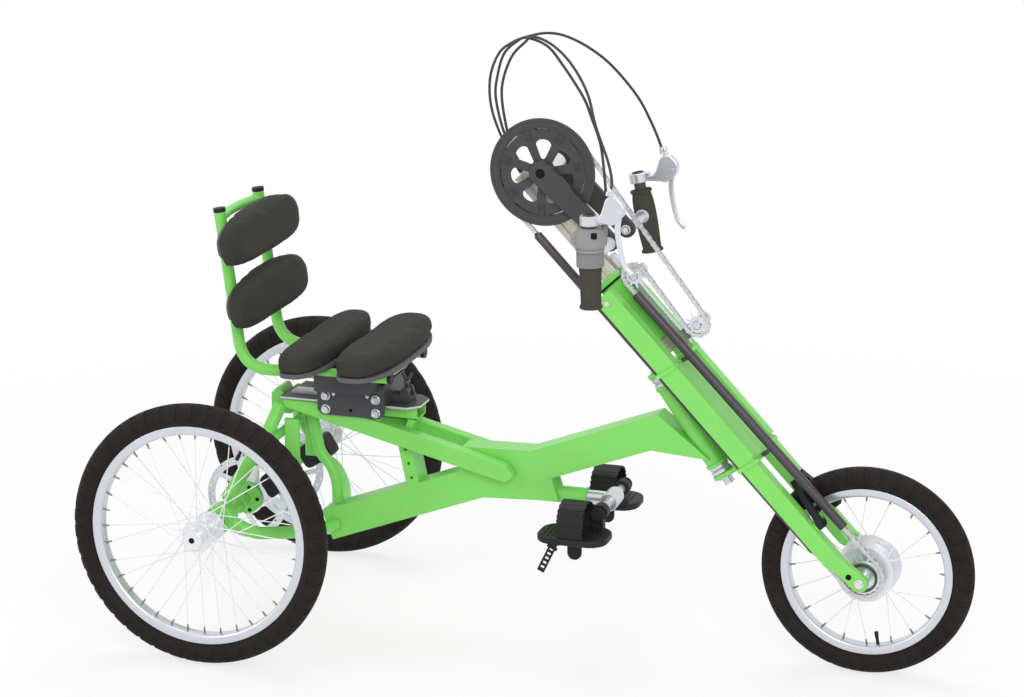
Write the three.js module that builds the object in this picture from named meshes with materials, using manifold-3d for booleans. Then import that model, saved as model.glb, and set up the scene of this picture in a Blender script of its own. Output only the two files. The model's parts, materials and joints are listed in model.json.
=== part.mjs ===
// A hand-cranked adaptive tricycle: two rear wheels on their own axles, a sloping spine, a leaning
// front fork with a mast that carries the cranks, a padded seat on a rail and a pair of footplates.
// Millimetres, +X forward, +Y to the rider's left, +Z up. The scene graph nests the fork, the cranks
// and the handles in groups, because each of them leans or turns on its own.
import * as THREE from 'three';
import { mergeVertices } from 'three/addons/utils/BufferGeometryUtils.js';
import Module from 'manifold-3d';

const wasm = await Module();
wasm.setup();

// Driving dimensions. Angles are in degrees.

const wheelbase = 1167;
const gap = 0.3; // between pieces that touch
const overrun = 2; // how far a cutting tool passes the face that it opens
const weld = 0.001; // vertices closer than this are one vertex
const sliver = 0.05; // a cut or join leaves no face thinner than this

const rearWheel = {
  radius: 247, halfTrack: 320, rimRadius: 209.6, rimDepth: 25, rimWidth: 28, tyreWidth: 47,
  spokes: 36, lean: 62, spokeRadius: 1.1, hubRadius: 17, flangeRadius: 29, flangeWidth: 5,
  hubIn: 72, hubOut: 27, flangeIn: 40, flangeOut: 16, segments: 30,
};

const frontWheel = {
  radius: 195, rimRadius: 158.5, rimDepth: 21, rimWidth: 28, tyreWidth: 44,
  spokes: 20, lean: 16, spokeRadius: 1.1, drumRadius: 50, drumLip: 2, drumIn: 22, drumOut: 34, hubRadius: 22,
  flangeRadius: 66, flangeWidth: 3, segments: 30,
};

const rearAxle = {
  radius: 12, innerEnd: 86, flangeAt: 96.3, flangeRadius: 31, flangeWidth: 6,
  collarAt: 137, collarWidth: 14, collarRadius: 17,
};

const rotor = {
  radius: 80, band: 15, thickness: 2, at: 95, hubRadius: 27, arms: 5, armWidth: 9,
  slots: 10, slotWidth: 4, slotLength: 9,
};

const bearing = { inner: 202, outer: 234, radius: 27 };

const caliper = {
  reach: 82, angle: 31.6, length: 46, height: 62, width: 46, slot: 5, depth: 31, boss: 9,
  mountInner: 50.3, mountWidth: 6, mountRear: 62, mountFront: 90, mountTop: 411, mountFoot: 292,
};

const spine = { rearX: 133, rearZ: 182, slope: 20.8, height: 60, width: 50, length: 702 };

const head = {
  x: 887, z: 369, lean: 35, length: 176, radius: 19.5,
  gussetRear: 766, gussetDrop: 16, topRear: 404, topFront: 536, topZ: 364,
};

const stay = {
  width: 24.7, height: 34, rearX: 57, rearZ: 452, frontX: 495, slope: 13.9, legRadius: 12.5,
  postX: 242, postLength: 16, postInset: 3,
};

const steepLeg = {
  topX: 50, topY: 45, topZ: 430, kneeX: 35, kneeY: 80, kneeZ: 366, footX: 6, footY: 226, footZ: 270,
};

const lowStay = {
  radius: 12, footX: 14, footY: 224, footZ: 243, bendX: 60, bendY: 214, bendZ: 220,
  midX: 100, midY: 155, midZ: 206, innerX: 131, innerY: 80, innerZ: 189, endX: 150, endZ: 186,
};

const rail = {
  rear: 50, front: 323, top: 436, thickness: 5, halfWidth: 45, corner: 20,
  slotHalf: 12, rearSlot: 72, rearSlotEnd: 124, frontSlot: 272, frontSlotEnd: 306,
  blockRear: 63, blockFront: 117, blockHalf: 19, blockHeight: 15,
};

const channel = { depth: 24, wall: 3, rear: 60, front: 316 };

const frontPost = { topX: 306, footX: 292, footZ: 373, width: 16 };

const strut = { topX: 287, footX: 313, width: 26, holeRadius: 3.2 };

const curvedStrut = { radius: 11, topX: 94, kneeX: 111, kneeZ: 317, bendX: 136, bendZ: 292, lowX: 146, lowZ: 258 };

const crossTube = { x: 50, z: 364, radius: 9 };

const endBracket = { rear: 24, low: 396, high: 447, round: 12 };

const receiver = {
  axisZ: 282, rear: 470, front: 642, radius: 16, gussetRear: 436, gussetFront: 592, gussetTop: 577,
};

const footrest = { radius: 13, rear: 500, tee: 687, teeRadius: 17, teeHalf: 24, shaft: 8, shaftHalf: 90 };

const footplate = {
  y: 110, length: 142, width: 92, thickness: 12, drop: 45, centre: 45, round: 30, hub: 15, hubWidth: 20,
  strapX: -38, strapWide: 50, strapThick: 4, strapShoulder: 44, strapTop: 72,
  tailX: -66, tailWidth: 14, tailLength: 58, tailLean: 25, windows: 5, windowLength: 5,
  windowWidth: 7, tongueX: -47, tongueWidth: 27, tongueDrop: 44, tongueThick: 5,
};

const seat = {
  tubeRadius: 11, tubeY: 93, topZ: 803, cornerX: -3, cornerZ: 499.5, tilt: 7.5, slope: 1.07,
  bendRadius: 62, frontX: 292, crossAt: 782, crossRadius: 9, crossBow: 12,
  barX: 280, barRadius: 6,
};

const clamp = {
  rear: 130, front: 262, low: 412, high: 478, outer: 57, sheet: 6, foot: 39, plateTop: 490,
  plateHalf: 104, plateRear: 142, plateFront: 252, roof: 8, baseFront: 300, baseHalf: 16, baseHigh: 13,
  chamfer: 9, holeRadius: 4,
};

const latch = { x: 288, z: 456, hub: 6, pin: 3.5, ear: 9, halfWidth: 9, arm: 34, armThick: 5, splay: 28, tip: 4 };

const board = { thickness: 6, inset: 12 };

const pads = {
  length: 384, thickness: 38, seatThickness: 42, points: 20,
  upperZ: 747, upperHeight: 112, lowerZ: 636, lowerHeight: 108,
  rearX: 132, rearDepth: 104, frontX: 250, frontDepth: 122,
};

const fork = {
  lean: 43.4, legInner: 54.5, legWidth: 25, legRear: 27.5, legFront: 4.5, legFrontHigh: 9.5,
  legTop: 688, legFoot: 33, legTaper: 62, step: 296, axisN: -83.9, axisT: 318.8,
  dropoutRadius: 16, dropoutInner: 66, axleRadius: 6, nutRadius: 11, spacerRadius: 10, nutLength: 9,
};

const crown = {
  thickness: 8, upper: 200, lower: -20, nose: 22, halfWidth: 82, frontUpper: 12, frontLower: 9,
  panel: 3, neck: 34, shoulder: 12, corner: 6,
};

const steerer = { radius: 14, collar: 20, bearingRadius: 15.2, bolt: 10, boltLength: 12 };

const mast = { half: 15, foot: 530, top: 950, groove: 4, grooveWidth: 8, bore: 8.5 };

const mastClamp = {
  foot: 560, top: 707, rear: 27, front: 18, half: 27, webFoot: 640, webTop: 684, webThick: 8, slit: 3,
};

const bottomBracket = { n: 47.7, t: 925.2, radius: 20, half: 34, block: 20, axle: 8.5 };

const idlerBar = { thick: 12, inner: 2, outer: 14, foot: 520, top: 735, armHalf: 11, armInner: -8 };

const chainLine = { y: -41, pitch: 12.7, height: 8.5, width: 6.8, slot: 3, roller: 3.6 };

const sprockets = {
  ring: { teeth: 44, n: bottomBracket.n, t: bottomBracket.t, turn: -1 },
  tension: { teeth: 10, n: 78, t: 538, turn: -1 },
  top: { teeth: 10, n: 48, t: 678, turn: 1 },
  hub: { teeth: 18, n: 0, t: 0, turn: -1 },
};

const tooth = { thickness: 2.2, root: 5.2, rise: 3.5, rootWidth: 4.6, tipWidth: 2 };

const idler = { pin: 4, boss: 9, half: 5, head: 3, headRadius: 7 };

const guideTubes = {
  bore: 6.6, frontRadius: 9, rearRadius: 8, foot: 92, frontTop: 652, rearTop: 848, clipHalf: 5,
};

const ring = { inner: 66, outer: 78 };

const guard = {
  radius: 98, thickness: 3, inner: 46, windowOut: 78, windowIn: 46, windows: 5, spoke: 17,
};

const crank = {
  length: 175, drop: 42.4, inner: 49.3, thickness: 13, hubRadius: 22, tipRadius: 16, pin: 6, pinEnd: 168,
};

const handle = {
  y: 185, barRadius: 11, sleeve: 11, sleeveStart: 64, top: 80, footRight: -88, footLeft: -72,
  tiltRight: 1.5, tiltLeft: 12, ringFoot: 60, ringHeight: 18, ringRadius: 19, bodyWidth: 14, bodyTop: 114,
  bodyNose: 42, leverWidth: 8, leverPin: 3.5, pivotX: 52, pivotZ: 88,
  housingLow: -13, housingHigh: 14, housingRadius: 24,
};

const grip = { radius: 19, highLeft: 55, flange: 3, flangeWidth: 3 };

const shifter = { low: 14.3, high: 56, radius: 27, ribs: 10, ribDepth: 2 };

const lever = { eye: 8, thick: 8, length: 110, reach: 26 };

const brake = {
  bossT: 126, bossY: 66, bossRadius: 9, pinRadius: 4, armThick: 11, armRear: 10.5, armTop: 214,
  topY: 26, tipHalf: 7, padT: 145, padN: 15, padLength: 38, padHeight: 9, padThick: 9, padClear: 2,
  studRadius: 4,
};

const cable = { radius: 2.5, steps: 26 };

// Each cable's route, chosen by hand: from the left lever, the shifter and the right lever
const cableRoutes = [
  [[725, 185, 897], [722, 184, 915], [708, 166, 961], [686, 147, 1011], [644, 129, 1066], [605, 110, 1101],
    [567, 91, 1123], [537, 73, 1130], [509, 54, 1126], [486, 35, 1118], [464, 17, 1099], [450, 8, 1056],
    [452, 7, 1003], [472, 6, 948], [499, 5, 904], [517, 4.5, 879.5]],
  [[718, -172, 850], [720, -172, 880], [712, -165, 946], [700, -146, 982], [680, -127, 1018],
    [658, -107, 1052], [613, -84, 1103], [578, -63, 1131], [535, -44, 1140], [509, -24, 1128], [481, -6, 1103],
    [467, 0, 1064], [463, 0, 1021], [479, 0, 957], [506, 0, 908], [522, 0, 884]],
  [[725, -185, 897], [733, -185, 918], [720, -164, 952], [692, -144, 1008], [670, -123, 1062],
    [635, -103, 1108], [594, -84, 1137], [554, -65, 1146], [531, -45, 1131], [502, -25, 1103], [482, -12, 1061],
    [477, -8, 1023], [486, -7, 966], [503, -6, 903], [517, -4.5, 879.5]],
];

// Shares: where the points of an outline lie, as parts of the sizes that they follow

const tyreShares = [[0, 0.62], [0.35, 1], [0.78, 0.8], [1, 0.3]];
const rimShares = [[0, 0.3], [0.5, 1], [1, 1]];
const padFlankShares = [[0, 0.93], [0.3, 0.985], [1, 1]];
const padCrownShares = [[0.35, 0.965], [0.75, 0.85], [1, 0.55]];
const padFlankShare = 0.55;
const [bowedShare, straightShare, endShare] = [0.95, 0.5, 0.72];
const strutHoleShares = [0.2, 0.42, 0.64];
const bladeShares = [[0, 0], [-0.12, 0.24], [-0.04, 0.48], [0.3, 0.82], [0.58, 0.93], [0.95, 1]];
const guardPhaseShare = 0.1;
const spokePhaseShare = 0.1;

// Small tools

const rad = THREE.MathUtils.degToRad;
const { sin, cos, tan, asin, PI } = Math;

const v2 = (x, y) => new THREE.Vector2(x, y);
const v3 = (x, y, z) => new THREE.Vector3(x, y, z);

function signedVolume(positions, index) {
  const a = v3(0, 0, 0);
  const b = v3(0, 0, 0);
  const c = v3(0, 0, 0);
  let total = 0;
  for (let i = 0; i < index.length; i += 3) {
    a.fromBufferAttribute(positions, index[i]);
    b.fromBufferAttribute(positions, index[i + 1]);
    c.fromBufferAttribute(positions, index[i + 2]);
    total += a.dot(b.cross(c));
  }
  return total;
}

// Leaves only merged positions, drops triangles without area and turns the faces outward
function closed(source) {
  const bare = new THREE.BufferGeometry();
  bare.setAttribute('position', source.getAttribute('position').clone());
  if (source.index) bare.setIndex(source.index.clone());
  const merged = mergeVertices(bare, weld);
  const index = merged.index.array;
  const kept = [];
  for (let i = 0; i < index.length; i += 3) {
    const [a, b, c] = [index[i], index[i + 1], index[i + 2]];
    if (a !== b && b !== c && c !== a) kept.push(a, b, c);
  }
  if (signedVolume(merged.getAttribute('position'), kept) < 0) kept.reverse();
  merged.setIndex(kept);
  return merged;
}

function toSolid(geometry) {
  const whole = closed(geometry);
  return new wasm.Manifold(new wasm.Mesh({
    numProp: 3,
    vertProperties: new Float32Array(whole.getAttribute('position').array),
    triVerts: new Uint32Array(whole.index.array),
  }));
}

function fromSolid(solid) {
  const mesh = solid.simplify(sliver).getMesh();
  const geometry = new THREE.BufferGeometry();
  geometry.setAttribute('position', new THREE.BufferAttribute(new Float32Array(mesh.vertProperties), 3));
  geometry.setIndex([...mesh.triVerts]);
  return geometry;
}

function join(...pieces) {
  return fromSolid(pieces.map(toSolid).reduce((whole, piece) => whole.add(piece)));
}

function cut(base, ...tools) {
  return fromSolid(tools.map(toSolid).reduce((rest, tool) => rest.subtract(tool), toSolid(base)));
}

function mirrored(geometry) {
  return closed(geometry.clone().scale(1, -1, 1));
}

function box([x0, x1], [y0, y1], [z0, z1]) {
  const solid = new THREE.BoxGeometry(x1 - x0, y1 - y0, z1 - z0);
  return solid.translate((x0 + x1) / 2, (y0 + y1) / 2, (z0 + z1) / 2);
}

// An outline in X and Z, extruded from y0 to y1
function plate(outline, [y0, y1], holes = []) {
  const shape = new THREE.Shape(outline);
  shape.holes = holes.map((hole) => new THREE.Path(hole));
  const solid = new THREE.ExtrudeGeometry(shape, { depth: y1 - y0, bevelEnabled: false });
  return closed(solid.rotateX(PI / 2).translate(0, y1, 0));
}

function circle(x, z, radius, sides, start = 0) {
  return Array.from({ length: sides }, (_, i) => {
    const angle = start + (2 * PI * i) / sides;
    return v2(x + radius * cos(angle), z + radius * sin(angle));
  });
}

function arc(x, z, radius, from, to, steps) {
  return Array.from({ length: steps + 1 }, (_, i) => {
    const angle = from + ((to - from) * i) / steps;
    return v2(x + radius * cos(angle), z + radius * sin(angle));
  });
}

function roundedRectangle(length, width, round, steps) {
  const [a, b] = [length / 2 - round, width / 2 - round];
  return [
    ...arc(a, b, round, 0, PI / 2, steps),
    ...arc(-a, b, round, PI / 2, PI, steps),
    ...arc(-a, -b, round, PI, 1.5 * PI, steps),
    ...arc(a, -b, round, 1.5 * PI, 2 * PI, steps),
  ];
}

// A disc or ring about an axle along Y, from pairs of radius and place along the axle
function turned(profile, segments) {
  return closed(new THREE.LatheGeometry(profile.map(([r, y]) => v2(r, y)), segments));
}

function disc(radius, [y0, y1], segments, bore = 0) {
  return bore
    ? turned([[bore, y0], [radius, y0], [radius, y1], [bore, y1], [bore, y0]], segments)
    : turned([[0, y0], [radius, y0], [radius, y1], [0, y1]], segments);
}

// The radius of a bore of so many sides in which a round shaft turns freely
function socket(radius, sides) {
  return (radius + gap) / cos(PI / sides);
}

function rod(from, to, radius, sides) {
  const along = to.clone().sub(from);
  const solid = new THREE.CylinderGeometry(radius, radius, along.length(), sides);
  solid.applyQuaternion(new THREE.Quaternion().setFromUnitVectors(v3(0, 1, 0), along.clone().normalize()));
  const middle = from.clone().add(to).multiplyScalar(0.5);
  return closed(solid.translate(middle.x, middle.y, middle.z));
}

// Rings of equal count, joined in order and closed at both ends
function loft(rings) {
  const count = rings[0].length;
  const points = rings.flat();
  const index = [];
  for (let r = 0; r + 1 < rings.length; r += 1) {
    for (let i = 0; i < count; i += 1) {
      const a = r * count + i;
      const b = r * count + ((i + 1) % count);
      index.push(a, b, b + count, a, b + count, a + count);
    }
  }
  const last = (rings.length - 1) * count;
  for (let i = 1; i + 1 < count; i += 1) {
    index.push(0, i + 1, i);
    index.push(last, last + i, last + i + 1);
  }
  const geometry = new THREE.BufferGeometry().setFromPoints(points);
  geometry.setIndex(index);
  return closed(geometry);
}

// A section carried along straight runs, mitred at each corner
function sweep(points, section, side = v3(0, 1, 0)) {
  const runs = points.slice(1).map((point, i) => point.clone().sub(points[i]).normalize());
  let across = side.clone().addScaledVector(runs[0], -side.dot(runs[0])).normalize();
  let up = runs[0].clone().cross(across);
  const rings = points.map((point, k) => {
    const before = runs[Math.max(k - 1, 0)];
    const after = runs[Math.min(k, runs.length - 1)];
    const normal = before.clone().add(after).normalize();
    const ring = section.map(({ x, y }) => {
      const corner = v3(0, 0, 0).addScaledVector(across, x).addScaledVector(up, y);
      return corner.addScaledVector(before, -corner.dot(normal) / before.dot(normal)).add(point);
    });
    const turn = new THREE.Quaternion().setFromUnitVectors(before, after);
    across = across.clone().applyQuaternion(turn);
    up = up.clone().applyQuaternion(turn);
    return ring;
  });
  return loft(rings);
}

function add(name, geometry, look, parent) {
  const whole = closed(geometry);
  whole.computeVertexNormals();
  const mesh = new THREE.Mesh(whole, new THREE.MeshStandardMaterial(look));
  mesh.name = name;
  parent.add(mesh);
  return mesh;
}

// Looks

const green = { color: 0x87de6c, roughness: 0.32, metalness: 0.1 };
const silver = { color: 0xd2d6da, roughness: 0.35, metalness: 0.8 };
const rubber = { color: 0x231f1c, roughness: 0.85, metalness: 0 };
const cushion = { color: 0x42423e, roughness: 0.9, metalness: 0 };
const darkMetal = { color: 0x4b4b4e, roughness: 0.5, metalness: 0.3 };
const blackPlastic = { color: 0x202022, roughness: 0.5, metalness: 0 };
const guardGrey = { color: 0x484848, roughness: 0.55, metalness: 0 };
const cream = { color: 0xe1dccd, roughness: 0.4, metalness: 0.3 };
const chainSilver = { color: 0xe1e4eb, roughness: 0.3, metalness: 0.9 };
const tubeGrey = { color: 0x4e484e, roughness: 0.4, metalness: 0 };
const shifterGrey = { color: 0x8a8a8c, roughness: 0.5, metalness: 0.2 };

// Groups

const tricycle = new THREE.Group();

// The origin lies on the ground under the middle of the whole length
const base = new THREE.Group();
base.position.x = -(wheelbase + frontWheel.radius - rearWheel.radius) / 2;
tricycle.add(base);

const forkGroup = new THREE.Group();
forkGroup.position.set(wheelbase, 0, frontWheel.radius);
forkGroup.rotation.y = -rad(fork.lean);
base.add(forkGroup);

const crankGroup = new THREE.Group();
crankGroup.position.set(bottomBracket.n, 0, bottomBracket.t);
crankGroup.rotation.y = rad(crank.drop + fork.lean);
forkGroup.add(crankGroup);

// Wheels

function tyre(wheel) {
  const bead = wheel.rimRadius + gap;
  const high = wheel.radius - bead;
  const half = wheel.tyreWidth / 2;
  const side = tyreShares.map(([rise, width]) => [bead + high * rise, half * width]);
  const profile = [...side, ...side.map(([r, y]) => [r, -y]).reverse()];
  return turned([...profile, profile[0]], wheel.segments);
}

function rim(wheel) {
  const inner = wheel.rimRadius - wheel.rimDepth;
  const half = wheel.rimWidth / 2;
  const side = rimShares.map(([rise, width]) => [inner + wheel.rimDepth * rise, half * width]);
  const profile = [...side, ...side.map(([r, y]) => [r, -y]).reverse()];
  return turned([...profile, profile[0]], wheel.segments);
}

// Spokes leave each flange side by side, lean opposite ways and meet the rim evenly
function spokes(wheel, flangeRadius, flanges, lean) {
  const reach = wheel.rimRadius - wheel.rimDepth + overrun;
  return Array.from({ length: wheel.spokes }, (_, i) => {
    const rimAngle = (2 * PI * (i + spokePhaseShare)) / wheel.spokes;
    const way = i % 4 < 2 ? 1 : -1;
    const hubAngle = rimAngle + way * lean;
    const hubY = flanges[i % 2] + way * wheel.spokeRadius;
    const root = flangeRadius - overrun;
    const from = v3(root * cos(hubAngle), hubY, root * sin(hubAngle));
    const to = v3(reach * cos(rimAngle), way * wheel.spokeRadius, reach * sin(rimAngle));
    return rod(from, to, wheel.spokeRadius, 3);
  });
}

function rearHub(wheel) {
  const { hubIn, hubOut, flangeIn, flangeOut, flangeWidth, flangeRadius, hubRadius } = wheel;
  return turned([
    [rearAxle.radius + gap, -hubIn], [hubRadius, -hubIn], [hubRadius, -flangeIn - flangeWidth],
    [flangeRadius, -flangeIn - flangeWidth], [flangeRadius, -flangeIn], [hubRadius, -flangeIn],
    [hubRadius, flangeOut - flangeWidth], [flangeRadius, flangeOut - flangeWidth],
    [flangeRadius, flangeOut], [hubRadius, flangeOut], [hubRadius, hubOut], [0, hubOut],
    [0, -flangeIn], [rearAxle.radius + gap, -flangeIn], [rearAxle.radius + gap, -hubIn],
  ], 12);
}

function rotorDisc() {
  const { radius, band, arms, armWidth, hubRadius, slots, slotWidth, slotLength } = rotor;
  const inner = radius - band;
  const halfSlot = slotWidth / 2;
  const middle = radius - band / 2;
  const windows = Array.from({ length: arms }, (_, i) => {
    const centre = (2 * PI * (i + 0.5)) / arms;
    const spread = PI / arms;
    const outer = spread - asin(armWidth / 2 / inner);
    const near = spread - asin(armWidth / 2 / hubRadius);
    return [
      ...arc(0, 0, inner, centre - outer, centre + outer, 3),
      ...arc(0, 0, hubRadius, centre + near, centre - near, 1),
    ];
  });
  const notches = Array.from({ length: slots }, (_, i) => {
    const angle = (2 * PI * (i + 0.5)) / slots;
    const corners = [[-slotLength, -halfSlot], [slotLength, -halfSlot], [slotLength, halfSlot], [-slotLength, halfSlot]];
    return corners.map(([u, v]) => v2(middle + u / 2, v).rotateAround(v2(0, 0), angle));
  });
  const bore = circle(0, 0, rearAxle.radius + gap, 12);
  const half = rotor.thickness / 2;
  return plate(circle(0, 0, radius, 24), [-half, half], [...windows, ...notches, bore]);
}

// The axle turns in the bearing at the end of the stays and carries the disc on a bolted flange
function rearAxleBar() {
  const { radius, innerEnd, flangeAt, flangeRadius, flangeWidth } = rearAxle;
  const { collarAt, collarWidth, collarRadius } = rearAxle;
  const outerEnd = rearWheel.halfTrack - rearWheel.flangeIn - gap;
  return turned([
    [0, innerEnd], [radius, innerEnd], [radius, flangeAt], [flangeRadius, flangeAt],
    [flangeRadius, flangeAt + flangeWidth], [radius, flangeAt + flangeWidth],
    [radius, collarAt - collarWidth / 2], [collarRadius, collarAt - collarWidth / 2],
    [collarRadius, collarAt + collarWidth / 2], [radius, collarAt + collarWidth / 2],
    [radius, outerEnd], [0, outerEnd],
  ], 12);
}

function rearWheels() {
  const wheel = rearWheel;
  const flanges = [wheel.flangeOut - wheel.flangeWidth / 2, -wheel.flangeIn - wheel.flangeWidth / 2];
  const wheelSolid = join(rim(wheel), rearHub(wheel), ...spokes(wheel, wheel.flangeRadius, flanges, rad(wheel.lean)));
  for (const [side, sign] of [['left', 1], ['right', -1]]) {
    const group = new THREE.Group();
    group.position.set(0, 0, rearWheel.radius);
    base.add(group);
    const place = (geometry, y) => {
      const moved = geometry.clone().translate(0, y, 0);
      return sign > 0 ? moved : mirrored(moved);
    };
    add(`tyre_rear_${side}`, place(tyre(wheel), wheel.halfTrack), rubber, group);
    add(`wheel_rear_${side}`, place(wheelSolid, wheel.halfTrack), silver, group);
    add(`axle_rear_${side}`, place(rearAxleBar(), 0), green, group);
    add(`brake_disc_${side}`, place(rotorDisc(), rotor.at), silver, group);
  }
}

function frontWheelPieces() {
  const wheel = frontWheel;
  const { drumRadius, drumLip, drumIn, drumOut, flangeRadius, flangeWidth, hubRadius } = wheel;
  const bore = socket(fork.axleRadius, 20);
  const hub = turned([
    [bore, -drumIn - flangeWidth], [flangeRadius, -drumIn - flangeWidth], [flangeRadius, -drumIn],
    [drumRadius, -drumIn], [drumRadius, drumOut - flangeWidth], [drumRadius + drumLip, drumOut - flangeWidth],
    [drumRadius + drumLip, drumOut], [hubRadius, drumOut], [hubRadius, drumOut + flangeWidth],
    [bore, drumOut + flangeWidth], [bore, -drumIn - flangeWidth],
  ], 20);
  const flanges = [drumOut - flangeWidth / 2, -drumIn - flangeWidth / 2];
  const pieces = spokes(wheel, drumRadius, flanges, rad(wheel.lean));
  const upright = rad(fork.lean);
  add('tyre_front', tyre(wheel).rotateY(upright), rubber, forkGroup);
  add('wheel_front', join(rim(wheel), hub, ...pieces).rotateY(upright), silver, forkGroup);
}

// Frame

const halfSpine = spine.width / 2;
const spineRun = v2(cos(rad(spine.slope)), sin(rad(spine.slope)));
const spineUp = v2(-spineRun.y, spineRun.x);
const headUp = v2(-sin(rad(head.lean)), cos(rad(head.lean)));

function spineTopAt(x) {
  return spine.rearZ + (x - spine.rearX) * tan(rad(spine.slope)) + spine.height / 2 / spineRun.x;
}

function spineFootAt(x) {
  return spineTopAt(x) - spine.height / spineRun.x;
}

// The stays slope down to the spine, and the seat rail lies level on their upper ends
const stayHalf = stay.height / 2 / cos(rad(stay.slope));
const underRail = rail.top - rail.thickness - gap;

function stayMiddleAt(x) {
  return stay.rearZ - stayHalf - (x - stay.rearX) * tan(rad(stay.slope));
}

function headPoint(along, front = 0) {
  return v2(head.x + headUp.x * along + headUp.y * front, head.z + headUp.y * along - headUp.x * front);
}

function headCylinder(radius, [from, to], sides) {
  const [low, high] = [headPoint(from), headPoint(to)];
  return rod(v3(low.x, 0, low.y), v3(high.x, 0, high.y), radius, sides);
}

function lengthwise(radius, [x0, x1], z, sides) {
  return rod(v3(x0, 0, z), v3(x1, 0, z), radius, sides);
}

function spineBar() {
  const rear = v2(spine.rearX, spine.rearZ);
  const lowRear = rear.clone().addScaledVector(spineUp, -spine.height / 2);
  const highRear = rear.clone().addScaledVector(spineUp, spine.height / 2);
  const brow = highRear.clone().addScaledVector(spineRun, spine.length);
  const outline = [
    lowRear,
    v2(head.gussetRear, spineFootAt(head.gussetRear)),
    headPoint(head.gussetDrop),
    brow,
    v2(head.topFront, spineTopAt(head.topFront)),
    v2(head.topRear, head.topZ),
    v2(head.topRear, spineTopAt(head.topRear)),
    highRear,
  ];
  const bar = plate(outline, [-halfSpine, halfSpine]);
  const bore = lengthwise(receiver.radius + gap, [receiver.rear - gap, receiver.front], receiver.axisZ, 12);
  const headSpace = headCylinder(head.radius + gap, [-head.length, 2 * head.length], 16);
  return cut(join(bar, strutWeb()), headSpace, bore);
}

// The web with three holes that ties the spine to the stays above it
function strutWeb() {
  const top = v2(strut.topX, frontPost.footZ - gap);
  const foot = v2(strut.footX, spineFootAt(strut.footX) + spine.height / 2);
  const wide = strut.width / 2;
  const holes = strutHoleShares.map((share) => {
    const at = top.clone().lerp(foot, share);
    return circle(at.x, at.y, strut.holeRadius, 8);
  });
  return plate([
    v2(foot.x - wide, foot.y), v2(foot.x + wide, foot.y), v2(top.x + wide, top.y), v2(top.x - wide, top.y),
  ], [-halfSpine, halfSpine], holes);
}

function steepLegTube(radius) {
  const { topX, topY, topZ, kneeX, kneeY, kneeZ, footX, footY, footZ } = steepLeg;
  const route = [v3(topX, topY, topZ), v3(kneeX, kneeY, kneeZ), v3(footX, footY, footZ)];
  return sweep(route, circle(0, 0, radius, 8));
}

function upperStay(...extras) {
  const inner = halfSpine + gap;
  const endX = stay.frontX + stay.height / 2;
  const bar = plate([
    v2(stay.rearX, stayMiddleAt(stay.rearX) - stayHalf),
    v2(stay.frontX, stayMiddleAt(stay.frontX) - stayHalf),
    v2(endX, stayMiddleAt(endX)),
    v2(stay.frontX, stayMiddleAt(stay.frontX) + stayHalf),
    v2(stay.rearX, stayMiddleAt(stay.rearX) + stayHalf),
  ], [inner, inner + stay.width]);
  const postHalf = stay.postLength / 2;
  const post = box(
    [stay.postX - postHalf, stay.postX + postHalf],
    [inner + stay.postInset, inner + stay.width - stay.postInset],
    [stayMiddleAt(stay.postX), rail.top],
  );
  const above = box([-wheelbase, wheelbase], [-wheelbase, wheelbase], [underRail, wheelbase]);
  const housing = disc(bearing.radius + gap, [bearing.inner - gap, bearing.outer + bearing.radius], 16);
  const whole = join(bar, steepLegTube(stay.legRadius), post, caliperTab(), ...extras);
  return cut(whole, above, housing.translate(0, 0, rearWheel.radius));
}

function lowerStay() {
  const { footX, footY, footZ, bendX, bendY, bendZ, midX, midY, midZ, innerX, innerY, innerZ, endX, endZ } = lowStay;
  const tube = sweep([
    v3(footX, footY, footZ), v3(bendX, bendY, bendZ), v3(midX, midY, midZ), v3(innerX, innerY, innerZ),
    v3(endX, halfSpine, endZ), v3(endX, 0, endZ),
  ], circle(0, 0, lowStay.radius, 8));
  const housing = disc(bearing.radius, [bearing.inner, bearing.outer], 16).translate(0, 0, rearWheel.radius);
  const bore = disc(socket(rearAxle.radius, 14), [0, rearWheel.halfTrack], 14).translate(0, 0, rearWheel.radius);
  const inside = box([0, wheelbase], [-wheelbase, halfSpine + gap], [0, wheelbase]);
  return cut(join(tube, housing), bore, inside);
}

function headTube() {
  const tube = headCylinder(head.radius, [0, head.length], 16);
  return cut(tube, headCylinder(socket(steerer.bearingRadius, 14), [-overrun, head.length + overrun], 14));
}

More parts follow.
